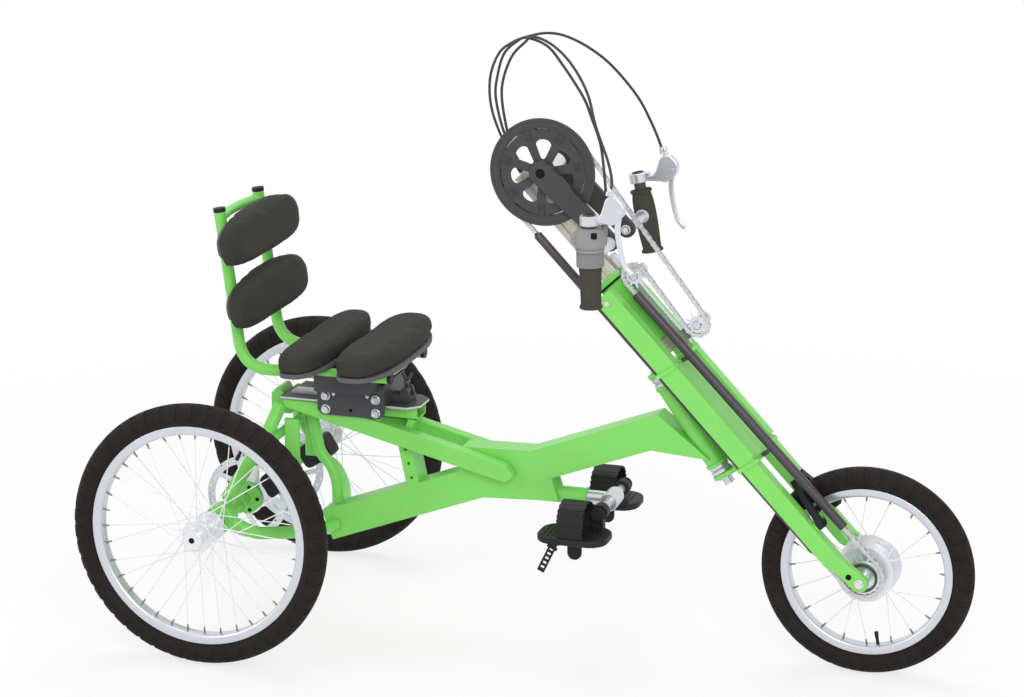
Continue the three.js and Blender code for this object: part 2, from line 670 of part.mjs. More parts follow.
// A trough under the seat rail, with the posts, webs and bent tube that hold it up from the spine
function railSupport() {
  const floor = underRail - channel.depth;
  const bed = floor + channel.wall;
  const trough = cut(
    box([channel.rear, channel.front], [-halfSpine, halfSpine], [floor, underRail]),
    box([channel.rear - overrun, channel.front + overrun],
      [-halfSpine + channel.wall, halfSpine - channel.wall], [bed, underRail + overrun]),
  );
  const half = frontPost.width / 2;
  const post = plate([
    v2(frontPost.footX - half, frontPost.footZ), v2(frontPost.footX + half, frontPost.footZ),
    v2(frontPost.topX + half, bed), v2(frontPost.topX - half, bed),
  ], [-halfSpine, halfSpine]);
  const { radius, topX, kneeX, kneeZ, bendX, bendZ, lowX, lowZ } = curvedStrut;
  const bent = sweep([
    v3(topX, 0, bed), v3(kneeX, 0, kneeZ), v3(bendX, 0, bendZ), v3(lowX, 0, lowZ), v3(lowX, 0, spineTopAt(lowX) - radius),
  ], circle(0, 0, radius, 8));
  const front = rail.rear - gap;
  const { rear, low, high, round } = endBracket;
  const bracket = plate([
    v2(rear, low), v2(channel.rear + channel.wall, low), v2(channel.rear + channel.wall, bed), v2(front, bed),
    v2(front, high - round), v2(front - round / 2, high), v2(rear + round, high), v2(rear, high - round),
  ], [-halfSpine, halfSpine]);
  const spineRegion = plate([
    v2(0, spineFootAt(0)), v2(wheelbase, spineFootAt(wheelbase)),
    v2(wheelbase, spineTopAt(wheelbase) + gap), v2(0, spineTopAt(0) + gap),
  ], [-spine.width, spine.width]);
  return cut(join(trough, post, bent, bracket), spineRegion);
}

// The tube across the two steep legs is welded to the left one and ends just short of the right one
function crossTubeSolid() {
  const { x, z, radius } = crossTube;
  const tube = rod(v3(x, -steepLeg.kneeY, z), v3(x, steepLeg.kneeY, z), radius, 8);
  return cut(tube, mirrored(steepLegTube(stay.legRadius + gap)));
}

// The tab beside each stay that carries a caliper
function caliperTab() {
  const { mountInner, mountWidth, mountRear, mountFront, mountTop, mountFoot } = caliper;
  return plate([
    v2(mountRear, mountFoot), v2(mountFront, mountFoot), v2(mountFront, mountTop), v2(mountRear, mountTop),
  ], [mountInner - mountWidth / 2, mountInner + mountWidth]);
}

function seatRail() {
  const { rear, front, top, thickness, halfWidth, corner, slotHalf } = rail;
  const outline = [
    v2(rear, -halfWidth), v2(front - corner, -halfWidth), v2(front, -halfWidth + corner),
    v2(front, halfWidth - corner), v2(front - corner, halfWidth), v2(rear, halfWidth),
  ];
  const slots = [[rail.rearSlot, rail.rearSlotEnd], [rail.frontSlot, rail.frontSlotEnd]].map(([from, to]) => (
    roundedRectangle(to - from, 2 * slotHalf, slotHalf, 3).map(({ x, y }) => v2(x + (from + to) / 2, y))
  ));
  const shape = new THREE.Shape(outline);
  shape.holes = slots.map((slot) => new THREE.Path(slot));
  const sheet = new THREE.ExtrudeGeometry(shape, { depth: thickness, bevelEnabled: false });
  return closed(sheet.translate(0, 0, top - thickness));
}

// The stop block stands on the rail behind the clamp
function railStop() {
  const { blockRear, blockFront, blockHalf, blockHeight, top } = rail;
  const low = top - rail.thickness / 2;
  const bevel = blockHeight / 3;
  return plate([
    v2(blockRear, low), v2(blockFront, low), v2(blockFront, top + blockHeight - bevel),
    v2(blockFront - bevel, top + blockHeight), v2(blockRear + blockHeight, top + blockHeight),
    v2(blockRear, top + bevel),
  ], [-blockHalf, blockHalf]);
}

function footrestReceiver() {
  const { rear, front, axisZ, radius, gussetRear, gussetFront, gussetTop } = receiver;
  const aboveFoot = plate([
    v2(0, spineFootAt(0) - gap), v2(wheelbase, spineFootAt(wheelbase) - gap), v2(wheelbase, wheelbase), v2(0, wheelbase),
  ], [-spine.width, spine.width]);
  const gusset = plate([
    v2(gussetRear, spineFootAt(gussetRear)), v2(gussetFront, axisZ - radius / 2),
    v2(gussetTop, spineFootAt(gussetTop)),
  ], [-halfSpine, halfSpine]);
  const sleeve = lengthwise(radius, [rear, front], axisZ, 12);
  const hole = lengthwise(footrest.radius + gap, [rear - overrun, front + overrun], axisZ, 12);
  return cut(join(cut(gusset, aboveFoot), sleeve), hole);
}

// A floating caliper: two cheeks round the disc, bolted to the tab through a boss
function caliperBody() {
  const { reach, angle, length, height, width, slot, depth, boss, mountInner, mountWidth } = caliper;
  const inner = rotor.at - width / 2;
  const outline = roundedRectangle(height, length, boss, 2);
  const body = plate(outline, [inner, inner + width]);
  const groove = box([-height, -height / 2 + depth], [rotor.at - slot / 2, rotor.at + slot / 2], [-length, length]);
  const stud = disc(boss, [mountInner + mountWidth + gap, inner + gap], 10);
  const placed = join(cut(body, groove), stud).rotateY(-rad(angle));
  const centre = v3(reach * cos(rad(angle)), 0, rearWheel.radius + reach * sin(rad(angle)));
  return placed.translate(centre.x, centre.y, centre.z);
}

function frame() {
  add('spine', spineBar(), green, base);
  add('head_tube', headTube(), green, base);
  add('upper_stay_left', upperStay(crossTubeSolid()), green, base);
  add('upper_stay_right', mirrored(upperStay()), green, base);
  add('lower_stay_left', lowerStay(), green, base);
  add('lower_stay_right', mirrored(lowerStay()), green, base);
  add('rail_support', railSupport(), green, base);
  add('seat_rail', join(seatRail(), railStop()), darkMetal, base);
  add('footrest_receiver', footrestReceiver(), green, base);
  add('caliper_left', caliperBody(), blackPlastic, base);
  add('caliper_right', mirrored(caliperBody()), blackPlastic, base);
}

// Seat

const seatTilt = rad(seat.tilt);
const seatSlope = rad(seat.slope);

function backX(z) {
  return seat.cornerX - (z - seat.cornerZ) * tan(seatTilt);
}

function seatZ(x) {
  return seat.cornerZ + (x - seat.cornerX) * tan(seatSlope);
}

function seatTubeRoute() {
  const bend = PI / 2 + seatSlope - seatTilt;
  const reach = seat.bendRadius / tan((PI - bend) / 2);
  const centre = v2(seat.cornerX - reach * sin(seatTilt), seat.cornerZ + reach * cos(seatTilt));
  centre.add(v2(seat.bendRadius * cos(seatTilt), seat.bendRadius * sin(seatTilt)));
  const bent = arc(centre.x, centre.y, seat.bendRadius, PI + seatTilt, 1.5 * PI + seatSlope, 4);
  const route = [v2(backX(seat.topZ), seat.topZ), ...bent, v2(seat.frontX, seatZ(seat.frontX))];
  return route.map(({ x, y }) => v3(x, 0, y));
}

function seatTube() {
  return sweep(seatTubeRoute(), circle(0, 0, seat.tubeRadius, 10));
}

// The welded seat frame: two bent tubes, a bowed bar near the top and a thin one in front
function seatFrame() {
  const x = backX(seat.crossAt);
  const bow = Array.from({ length: 5 }, (_, i) => {
    const share = i / 2 - 1;
    return v3(x - seat.crossBow * (1 - share * share), seat.tubeY * share, seat.crossAt);
  });
  const z = seatZ(seat.barX);
  const tubes = [seat.tubeY, -seat.tubeY].map((y) => seatTube().translate(0, y, 0));
  const bar = rod(v3(seat.barX, -seat.tubeY, z), v3(seat.barX, seat.tubeY, z), seat.barRadius, 6);
  return join(...tubes, sweep(bow, circle(0, 0, seat.crossRadius, 6), v3(1, 0, 0)), bar);
}

// A pad's outline: one long edge is bowed, the other is nearly straight, and the ends are round
function padOutline(length, height, points) {
  return Array.from({ length: points }, (_, i) => {
    const angle = (2 * PI * (i + 0.5)) / points;
    const flat = sin(angle) > 0 ? bowedShare : straightShare;
    const x = Math.sign(cos(angle)) * Math.abs(cos(angle)) ** endShare;
    return v2((x * length) / 2, (Math.sign(sin(angle)) * Math.abs(sin(angle)) ** flat * height) / 2);
  });
}

// The crown swells from the rim of the pad to its middle, and the sides draw in to the board
function pad(length, height, thickness) {
  const outline = padOutline(length, height, pads.points);
  const flank = thickness * padFlankShare;
  const rings = padFlankShares.map(([rise, spread]) => (
    outline.map(({ x, y }) => v3(x * spread, y * spread, flank * rise))
  ));
  const crown = padCrownShares.map(([rise, spread]) => (
    outline.map(({ x, y }) => v3(x * spread, y * spread, flank + (thickness - flank) * rise))
  ));
  return loft([...rings, ...crown]);
}

// The padding is glued to a smaller, thin board
function boardedPad(length, height, thickness) {
  const shape = new THREE.Shape(padOutline(length - 2 * board.inset, height - 2 * board.inset, pads.points));
  const sheet = new THREE.ExtrudeGeometry(shape, { depth: board.thickness + gap, bevelEnabled: false });
  return join(closed(sheet), pad(length, height, thickness).translate(0, 0, board.thickness));
}

// Puts a pad, built on local X and Y with its face along Z, at a place with three given directions
function placed(geometry, across, up, out, origin) {
  const turn = new THREE.Matrix4().makeBasis(across, up, out).setPosition(origin);
  return geometry.clone().applyMatrix4(turn);
}

function onBack(geometry, z, lift) {
  const up = v3(-sin(seatTilt), 0, cos(seatTilt));
  const out = v3(cos(seatTilt), 0, sin(seatTilt));
  const origin = v3(backX(z), 0, z).addScaledVector(out, seat.tubeRadius + lift);
  return placed(geometry, v3(0, 1, 0), up, out, origin);
}

function onSeat(geometry, x, lift) {
  const forward = v3(cos(seatSlope), 0, sin(seatSlope));
  const out = v3(-sin(seatSlope), 0, cos(seatSlope));
  const origin = v3(x, 0, seatZ(x)).addScaledVector(out, seat.tubeRadius + lift);
  return placed(geometry, v3(0, -1, 0), forward, out, origin);
}

function seatPads() {
  const { length, thickness, seatThickness } = pads;
  const { upperZ, upperHeight, lowerZ, lowerHeight, rearX, rearDepth, frontX, frontDepth } = pads;
  add('back_pad_upper', onBack(boardedPad(length, upperHeight, thickness), upperZ, gap), cushion, base);
  add('back_pad_lower', onBack(boardedPad(length, lowerHeight, thickness), lowerZ, gap), cushion, base);
  add('seat_pad_rear', onSeat(boardedPad(length, rearDepth, seatThickness), rearX, gap), cushion, base);
  add('seat_pad_front', onSeat(boardedPad(length, frontDepth, seatThickness), frontX, gap), cushion, base);
}

// The clamp bridges the stop block: its two sides grip the rail's edges and its plate holds the tubes
function seatClamp() {
  const { rear, front, low, high, outer, sheet, foot, roof, chamfer } = clamp;
  const { plateTop, plateHalf, plateRear, plateFront, baseFront, baseHalf, baseHigh } = clamp;
  const length = [rear - overrun, front + overrun];
  const edge = rail.halfWidth + gap;
  const sides = plate([
    v2(rear, low + chamfer), v2(rear + chamfer, low), v2(front - chamfer, low), v2(front, low + chamfer),
    v2(front, high), v2(rear, high),
  ], [-outer, outer], [circle((rear + front) / 2, (low + rail.top) / 2, clamp.holeRadius, 8)]);
  const tunnel = box(length, [-foot, foot], [low - overrun, high - roof]);
  const railGap = box(length, [-edge, edge], [low - overrun, rail.top + gap]);
  const below = box(length, [-outer + sheet, outer - sheet], [low - overrun, rail.top - rail.thickness]);
  const top = box([plateRear, plateFront], [-plateHalf, plateHalf], [high - roof, plateTop + seat.tubeRadius]);
  const inside = seat.tubeY - seat.tubeRadius;
  const level = box(length, [-inside, inside], [plateTop, plateTop + 2 * seat.tubeRadius]);
  const saddle = sweep(seatTubeRoute(), circle(0, 0, seat.tubeRadius + gap, 10));
  const wall = box([front - sheet, front], [-foot - overrun, foot + overrun], [rail.top + gap, high - roof + overrun]);
  const nose = box([front - overrun, baseFront], [-baseHalf, baseHalf], [rail.top + gap, rail.top + baseHigh]);
  const ears = plate([
    v2(latch.x - latch.ear, rail.top + gap), v2(latch.x + latch.ear, rail.top + gap),
    ...arc(latch.x, latch.z, latch.ear, 0, PI, 4),
  ], [-baseHalf, baseHalf]);
  const notch = box([latch.x - 2 * latch.ear, latch.x + 2 * latch.ear], [-latch.halfWidth - gap, latch.halfWidth + gap],
    [latch.z - latch.ear, latch.z + 2 * latch.ear]);
  const pinHole = disc(socket(latch.pin, 8), [-baseHalf - overrun, baseHalf + overrun], 8);
  return cut(
    join(cut(sides, tunnel, railGap, below), wall, cut(top, level), cut(join(nose, ears), notch)),
    saddle.clone().translate(0, seat.tubeY, 0),
    saddle.clone().translate(0, -seat.tubeY, 0),
    pinHole.translate(latch.x, 0, latch.z),
  );
}

// A forked finger lever on a pin between the two ears
function seatLatch() {
  const { x, z, hub, halfWidth, pin, arm, armThick, splay, tip } = latch;
  const half = armThick / 2;
  const stem = box([-half, half], [-half, half], [0, arm / 2]);
  const prongs = [-1, 1].map((side) => {
    const reach = arm / 2 / cos(rad(splay));
    const prong = box([-half, half], [-half, half], [-half, reach]).rotateY(side * rad(splay));
    return prong.translate(0, 0, arm / 2);
  });
  const grip = disc(tip, [-halfWidth, halfWidth], 8).translate(0, 0, arm / 2);
  const barrel = disc(hub, [-halfWidth, halfWidth], 10);
  const axle = disc(pin, [-clamp.baseHalf, clamp.baseHalf], 8);
  return join(barrel, axle, stem, ...prongs, grip).translate(x, 0, z);
}

function seatAssembly() {
  add('seat_clamp', seatClamp(), darkMetal, base);
  add('seat_frame', seatFrame(), green, base);
  add('seat_latch', seatLatch(), darkMetal, base);
  seatPads();
}

// Footrest

function footrestTube() {
  const { radius, rear, tee, teeRadius, teeHalf, shaft, shaftHalf } = footrest;
  const tube = lengthwise(radius, [rear, tee], receiver.axisZ, 12);
  const boss = disc(teeRadius, [-teeHalf, teeHalf], 12).translate(tee, 0, receiver.axisZ);
  const cross = disc(shaft, [-shaftHalf, shaftHalf], 10).translate(tee, 0, receiver.axisZ);
  return join(tube, boss, cross);
}

// The sole hangs under its hub on the cross shaft; a toe strap arches over it and ends in a ladder
function footplateSolid() {
  const { y, length, width, thickness, drop, centre, round, hub, hubWidth } = footplate;
  const outline = roundedRectangle(length, width, round, 3);
  const sole = new THREE.ExtrudeGeometry(new THREE.Shape(outline), { depth: thickness, bevelEnabled: false });
  const inner = y - width / 2;
  const barrel = disc(hub, [inner, inner + hubWidth], 12);
  const neck = box([-hub, hub / 2], [inner, inner + hubWidth], [-drop + thickness / 2, 0]);
  const bore = disc(socket(footrest.shaft, 12), [0, y + width], 12);
  const whole = join(closed(sole.translate(-centre, y, -drop)), barrel, neck, toeStrap(), strapTail(), tongue());
  return cut(whole, bore);
}

function toeStrap() {
  const { y, width, drop, thickness, strapX, strapWide, strapThick, strapShoulder, strapTop } = footplate;
  const low = -drop + thickness / 2;
  const half = (width - strapThick) / 2;
  const arch = [
    v3(strapX, y - half, low), v3(strapX, y - half, low + strapShoulder), v3(strapX, y - half / 2, low + strapTop),
    v3(strapX, y + half / 2, low + strapTop), v3(strapX, y + half, low + strapShoulder), v3(strapX, y + half, low),
  ];
  const band = [
    v2(-strapWide / 2, -strapThick / 2), v2(strapWide / 2, -strapThick / 2),
    v2(strapWide / 2, strapThick / 2), v2(-strapWide / 2, strapThick / 2),
  ];
  return sweep(arch, band, v3(1, 0, 0));
}

function strapTail() {
  const { y, width, drop, thickness, tailX, tailWidth, tailLength, tailLean, strapThick } = footplate;
  const { windows, windowLength, windowWidth } = footplate;
  const outer = y + width / 2;
  const step = tailLength / (windows + 1);
  const holes = Array.from({ length: windows }, (_, i) => {
    const z = -step * (i + 1);
    const [a, b] = [windowWidth / 2, windowLength / 2];
    return [v2(-a, z - b), v2(a, z - b), v2(a, z + b), v2(-a, z + b)];
  });
  const half = tailWidth / 2;
  const strip = plate([
    v2(-half, -tailLength), v2(half, -tailLength), v2(half, thickness), v2(-half, thickness),
  ], [outer - strapThick, outer], holes);
  return strip.rotateY(rad(tailLean)).translate(tailX, 0, -drop);
}

function tongue() {
  const { y, drop, thickness, tongueX, tongueWidth, tongueDrop, tongueThick } = footplate;
  const half = tongueWidth / 2;
  const outline = [
    ...arc(tongueX, -drop - tongueDrop + half, half, PI, 2 * PI, 5),
    v2(tongueX + half, -drop + thickness / 2), v2(tongueX - half, -drop + thickness / 2),
  ];
  return plate(outline, [y - tongueThick / 2, y + tongueThick / 2]);
}

function footrestAssembly() {
  add('footrest_tube', footrestTube(), silver, base);
  const group = new THREE.Group();
  group.position.set(footrest.tee, 0, receiver.axisZ);
  base.add(group);
  add('footplate_left', footplateSolid(), blackPlastic, group);
  add('footplate_right', mirrored(footplateSolid()), blackPlastic, group);
}

// Fork: local X points forward across the legs, local Z runs up along them, from the front axle

const axisLean = rad(fork.lean - head.lean);
const axisUp = v2(sin(axisLean), cos(axisLean));

function axisPoint(along, forward = 0) {
  return v2(fork.axisN + axisUp.x * along + axisUp.y * forward, fork.axisT + axisUp.y * along - axisUp.x * forward);
}

// How far a plate at a place along the steering axis reaches forward to a given local X
function reachTo(n, along) {
  return (n - axisPoint(along).x) / axisUp.y;
}

function squareToAxis(geometry, along) {
  const at = axisPoint(along);
  return closed(geometry.rotateY(axisLean).translate(at.x, 0, at.y));
}

// The steerer, its collars above and below the head tube and the bolt under the lower plate
function steererTube() {
  const { radius, collar, bearingRadius, bolt, boltLength } = steerer;
  const { thickness, upper, lower } = crown;
  const half = thickness / 2 + gap;
  const foot = lower - thickness;
  const profile = [
    [0, foot - boltLength], [bolt, foot - boltLength], [bolt, foot], [radius, foot], [radius, lower + half],
    [collar, lower + half], [collar, -gap], [bearingRadius, -gap], [bearingRadius, head.length + gap],
    [collar, head.length + gap], [collar, upper - half], [radius, upper - half], [radius, upper + thickness],
    [0, upper + thickness],
  ];
  const at = axisPoint(0);
  return turned(profile, 14).rotateX(PI / 2).rotateY(axisLean).translate(at.x, 0, at.y);
}

function crownPlate(along, front) {
  const rear = reachTo(-fork.legRear, along) - crown.shoulder;
  const edge = reachTo(front, along);
  const outline = [
    ...arc(0, 0, crown.nose, 0.6 * PI, 1.4 * PI, 4),
    v2(rear, -crown.neck), v2(rear + crown.shoulder / 2, -crown.halfWidth),
    v2(edge - crown.corner, -crown.halfWidth), v2(edge, -crown.halfWidth + crown.corner),
    v2(edge, crown.halfWidth - crown.corner), v2(edge - crown.corner, crown.halfWidth),
    v2(rear + crown.shoulder / 2, crown.halfWidth), v2(rear, crown.neck),
  ];
  const bore = new THREE.Path(circle(0, 0, socket(steerer.radius, 14), 14));
  const shape = new THREE.Shape(outline);
  shape.holes = [bore];
  const solid = new THREE.ExtrudeGeometry(shape, { depth: crown.thickness, bevelEnabled: false });
  return squareToAxis(solid.translate(0, 0, -crown.thickness / 2), along);
}

function forkCrown() {
  const half = crown.panel / 2;
  const inner = fork.legInner - gap;
  const low = axisPoint(crown.lower, reachTo(0, crown.lower)).y;
  const high = axisPoint(crown.upper, reachTo(0, crown.upper)).y;
  const panel = box([-half, half], [-inner, inner], [low, high]);
  const hole = guideTube('rear', guideTubes.rearRadius + gap, -guideTubes.foot);
  const plates = [crownPlate(crown.upper, crown.frontUpper), crownPlate(crown.lower, crown.frontLower)];
  return cut(join(...plates, panel), hole, legBar(gap), mirrored(legBar(gap)));
}

function legBar(spare) {
  const { legInner, legWidth, legRear, legFront, legFrontHigh, legTop, legFoot, legTaper, step } = fork;
  return plate([
    v2(-legRear - spare, legTaper), v2(-legRear / 2, legFoot), v2(-legFront / 2, legFoot),
    v2(legFront + spare, legTaper), v2(legFront + spare, step - spare), v2(legFrontHigh + spare, step - spare),
    v2(legFrontHigh + spare, legTop), v2(-legRear - spare, legTop),
  ], [legInner - spare, legInner + legWidth + spare]);
}

// A box-section leg that tapers to the wheel and ends in a round dropout
function forkLeg() {
  const { legInner, legWidth, legRear, legFront, legTaper } = fork;
  const outer = legInner + legWidth;
  const { dropoutRadius, dropoutInner, axleRadius } = fork;
  const tang = plate([
    ...arc(0, 0, dropoutRadius, 0.95 * PI, 2.1 * PI, 8), v2(legFront, legTaper), v2(-legRear * 0.8, legTaper),
  ], [dropoutInner, outer]);
  const eye = disc(axleRadius + gap, [0, outer + overrun], 10);
  const stud = rod(v3(0, brake.bossY, brake.bossT), v3(brake.armRear + brake.armThick, brake.bossY, brake.bossT),
    brake.pinRadius, 10);
  const shim = rod(v3(0, brake.bossY, brake.bossT), v3(brake.armRear - gap, brake.bossY, brake.bossT),
    brake.bossRadius, 10);
  return cut(join(legBar(0), tang, stud, shim), eye);
}

function frontAxle() {
  const { axleRadius, dropoutInner, legInner, legWidth, nutRadius, spacerRadius, nutLength } = fork;
  const outer = legInner + legWidth;
  const [left, right] = [frontWheel.drumOut + frontWheel.flangeWidth, chainLine.y - tooth.thickness / 2];
  return join(
    disc(axleRadius, [-outer - nutLength, outer + nutLength], 10),
    disc(nutRadius, [outer + gap, outer + nutLength / 2], 6),
    disc(nutRadius, [-outer - nutLength / 2, -outer - gap], 6),
    disc(spacerRadius, [left + gap, dropoutInner - gap], 10),
    disc(spacerRadius, [-dropoutInner + gap, right - gap], 10),
  );
}

function mastProfile() {
  const { half, foot, top, groove, grooveWidth, bore } = mast;
  const [a, b] = [grooveWidth / 2, half - groove];
  const quarter = [v2(half, -half), v2(half, -a), v2(b, -a), v2(b, a), v2(half, a)];
  const outline = [0, 1, 2, 3].flatMap((turn) => (
    quarter.map((corner) => corner.clone().rotateAround(v2(0, 0), (turn * PI) / 2))
  ));
  const shape = new THREE.Shape(outline);
  shape.holes = [new THREE.Path(circle(0, 0, bore, 8))];
  return new THREE.ExtrudeGeometry(shape, { depth: top - foot, bevelEnabled: false }).translate(0, 0, foot);
}

function mastWithShell() {
  const { n, t, radius, half, block, axle } = bottomBracket;
  const shell = disc(radius, [-half, half], 16).translate(n, 0, t);
  const bracket = box([mast.half - mast.groove, n], [-mast.half, mast.half], [t - block, t + block]);
  const bore = disc(socket(axle, 12), [-half - overrun, half + overrun], 12).translate(n, 0, t);
  return cut(join(mastProfile(), bracket, shell), bore);
}

function mastClampSolid() {
  const { foot, top, rear, front, half, webFoot, webTop, webThick, slit } = mastClamp;
  const body = box([-rear, front], [-half, half], [foot, top]);
  const inner = fork.legInner - gap;
  const web = box([-rear, -rear + webThick], [-inner, inner], [webFoot, webTop]);
  const wall = mast.half + gap;
  const bore = box([-wall, wall], [-wall, wall], [foot - overrun, top + overrun]);
  const gapSlot = box([0, front + overrun], [-slit / 2, slit / 2], [webFoot, top + overrun]);
  return cut(join(body, web), bore, gapSlot);
}

// Sprockets and chain. Angles run from local X towards local Z, and turn is +1 for that way round.

function pitchRadius(teeth) {
  return chainLine.pitch / 2 / sin(PI / teeth);
}

// The straight run from one sprocket to the next, and the two angles at which it leaves and lands
function run(from, to) {
  const across = v2(to.n - from.n, to.t - from.t);
  const offset = from.turn * pitchRadius(from.teeth) - to.turn * pitchRadius(to.teeth);
  const heading = across.angle() + asin(offset / across.length());
  const normal = v2(sin(heading), -cos(heading));
  const start = v2(from.n, from.t).addScaledVector(normal, from.turn * pitchRadius(from.teeth));
  const end = v2(to.n, to.t).addScaledVector(normal, to.turn * pitchRadius(to.teeth));
  return {
    start, end, heading,
    leave: heading - (from.turn * PI) / 2,
    land: heading - (to.turn * PI) / 2,
    pitches: start.distanceTo(end) / chainLine.pitch,
  };
}

const order = [sprockets.ring, sprockets.tension, sprockets.top, sprockets.hub];
const runs = order.map((from, i) => run(from, order[(i + 1) % order.length]));
const frontRun = runs[2];
const rearRun = runs[3];

function runPointAt(line, t) {
  const share = (t - line.start.y) / (line.end.y - line.start.y);
  return line.start.clone().lerp(line.end, share);
}

// The wrap round each sprocket, in pitches, from where one run lands to where the next leaves
function wrap(sprocket, landing, leaving) {
  const sweepAngle = (((leaving - landing) * sprocket.turn) % (2 * PI) + 2 * PI) % (2 * PI);
  return { sprocket, landing, pitches: (sweepAngle * sprocket.teeth) / (2 * PI) };
}

// The whole loop as a list of wraps and runs, starting where the chain leaves the rear guide tube
const loopStart = rearRun.pitches * ((guideTubes.rearTop - rearRun.start.y) / (rearRun.end.y - rearRun.start.y));
const loop = [
  { line: rearRun, from: loopStart, pitches: rearRun.pitches - loopStart },
  wrap(sprockets.ring, rearRun.land, runs[0].leave),
  { line: runs[0], from: 0, pitches: runs[0].pitches },
  wrap(sprockets.tension, runs[0].land, runs[1].leave),
  { line: runs[1], from: 0, pitches: runs[1].pitches },
  wrap(sprockets.top, runs[1].land, frontRun.leave),
  { line: frontRun, from: 0, pitches: frontRun.pitches },
  wrap(sprockets.hub, frontRun.land, rearRun.leave),
  { line: rearRun, from: 0, pitches: loopStart },
];
loop.reduce((start, piece) => {
  piece.start = start;
  return start + piece.pitches;
}, 0);

function pieceAt(place) {
  return loop.find((piece) => place < piece.start + piece.pitches) ?? loop[loop.length - 1];
}

function jointAt(place) {
  const piece = pieceAt(place);
  const along = place - piece.start;
  if (piece.line) {
    const share = (piece.from + along) / piece.line.pitches;
    return piece.line.start.clone().lerp(piece.line.end, share);
  }
  const { n, t, teeth, turn } = piece.sprocket;
  const angle = piece.landing + (turn * along * 2 * PI) / teeth;
  return v2(n, t).add(v2(cos(angle), sin(angle)).multiplyScalar(pitchRadius(teeth)));
}

// The angle of a tooth that stands in the open middle of a link on this sprocket
function toothPhase(sprocket) {
  const piece = loop.find((candidate) => candidate.sprocket === sprocket);
  const along = Math.ceil(piece.start) + 0.5 - piece.start;
  return piece.landing + (sprocket.turn * along * 2 * PI) / sprocket.teeth;
}

function insideGuide(joint, next) {
  const piece = joint.clone().add(next).multiplyScalar(0.5);
  const onFront = Math.abs(piece.x - runPointAt(frontRun, piece.y).x) < guideTubes.bore;
  const onRear = Math.abs(piece.x - runPointAt(rearRun, piece.y).x) < guideTubes.bore;
  const top = onFront ? guideTubes.frontTop : guideTubes.rearTop;
  return (onFront || onRear) && piece.y > guideTubes.foot && piece.y < top;
}

// The chain is one closed band. Each link has a window between its two rollers, and where a guide
// tube hides the chain the band is plain.
function chain() {
  const { pitch, height, width, slot, roller } = chainLine;
  const [side, open, share] = [width / 2, slot / 2, roller / 2 / pitch];
  const last = loop[loop.length - 1];
  const joints = Array.from({ length: Math.floor(last.start + last.pitches) + 1 }, (_, i) => jointAt(i));
  const hidden = joints.map((joint, i) => insideGuide(joint, joints[(i + 1) % joints.length]));
  const stations = joints.filter((_, i) => !hidden[i] || !hidden.at(i - 1));
  const edges = stations.map((at, i) => {
    const before = at.clone().sub(stations.at(i - 1)).normalize();
    const middle = stations[(i + 1) % stations.length].clone().sub(at).normalize().add(before).normalize();
    const rise = middle.clone().rotateAround(v2(0, 0), PI / 2).multiplyScalar(height / 2 / middle.dot(before));
    return { high: at.clone().add(rise), low: at.clone().sub(rise) };
  });
  const point = (at, y) => v3(at.x, chainLine.y + y, at.y);
  const quads = stations.flatMap((at, i) => {
    const next = (i + 1) % stations.length;
    const [high, low] = ['high', 'low'].map((level) => {
      const [a, b] = [edges[i][level], edges[next][level]];
      const [c, d] = [a.clone().lerp(b, share), b.clone().lerp(a, share)];
      return {
        outer: [point(a, -side), point(b, -side), point(b, side), point(a, side)],
        inner: [point(c, -open), point(d, -open), point(d, open), point(c, open)],
      };
    });
    const flanks = [0, 2].map((k) => [low.outer[k], low.outer[k + 1], high.outer[k + 1], high.outer[k]]);
    if (insideGuide(at, stations[next])) return [high.outer, low.outer.reverse(), ...flanks];
    const frames = [0, 1, 2, 3].flatMap((k) => {
      const m = (k + 1) % 4;
      return [
        [high.outer[k], high.outer[m], high.inner[m], high.inner[k]],
        [low.outer[m], low.outer[k], low.inner[k], low.inner[m]],
        [high.inner[k], high.inner[m], low.inner[m], low.inner[k]],
      ];
    });
    return [...frames, ...flanks];
  });
  return new THREE.BufferGeometry().setFromPoints(quads.flatMap(([a, b, c, d]) => [a, b, c, a, c, d]));
}

function toothedOutline(teeth, phase) {
  const radius = pitchRadius(teeth);
  const root = radius - tooth.root;
  const tip = radius + tooth.rise;
  const rootHalf = tooth.rootWidth / 2 / root;
  const tipHalf = tooth.tipWidth / 2 / tip;
  return Array.from({ length: teeth }, (_, i) => {
    const angle = phase + (2 * PI * i) / teeth;
    const at = (r, a) => v2(r * cos(a), r * sin(a));
    return [at(root, angle - rootHalf), at(tip, angle - tipHalf), at(tip, angle + tipHalf), at(root, angle + rootHalf)];
  }).flat();
}

const halfTooth = tooth.thickness / 2;
const toothSpan = [chainLine.y - halfTooth, chainLine.y + halfTooth];

function idlerWheel(sprocket) {
  const disk = plate(toothedOutline(sprocket.teeth, toothPhase(sprocket)), toothSpan);
  const boss = disc(idler.boss, [chainLine.y - idler.half, chainLine.y + idler.half], 10);
  const bore = disc(socket(idler.pin, 10), [chainLine.y - 2 * idler.half, chainLine.y + 2 * idler.half], 10);
  return cut(join(disk, boss), bore).translate(sprocket.n, 0, sprocket.t);
}

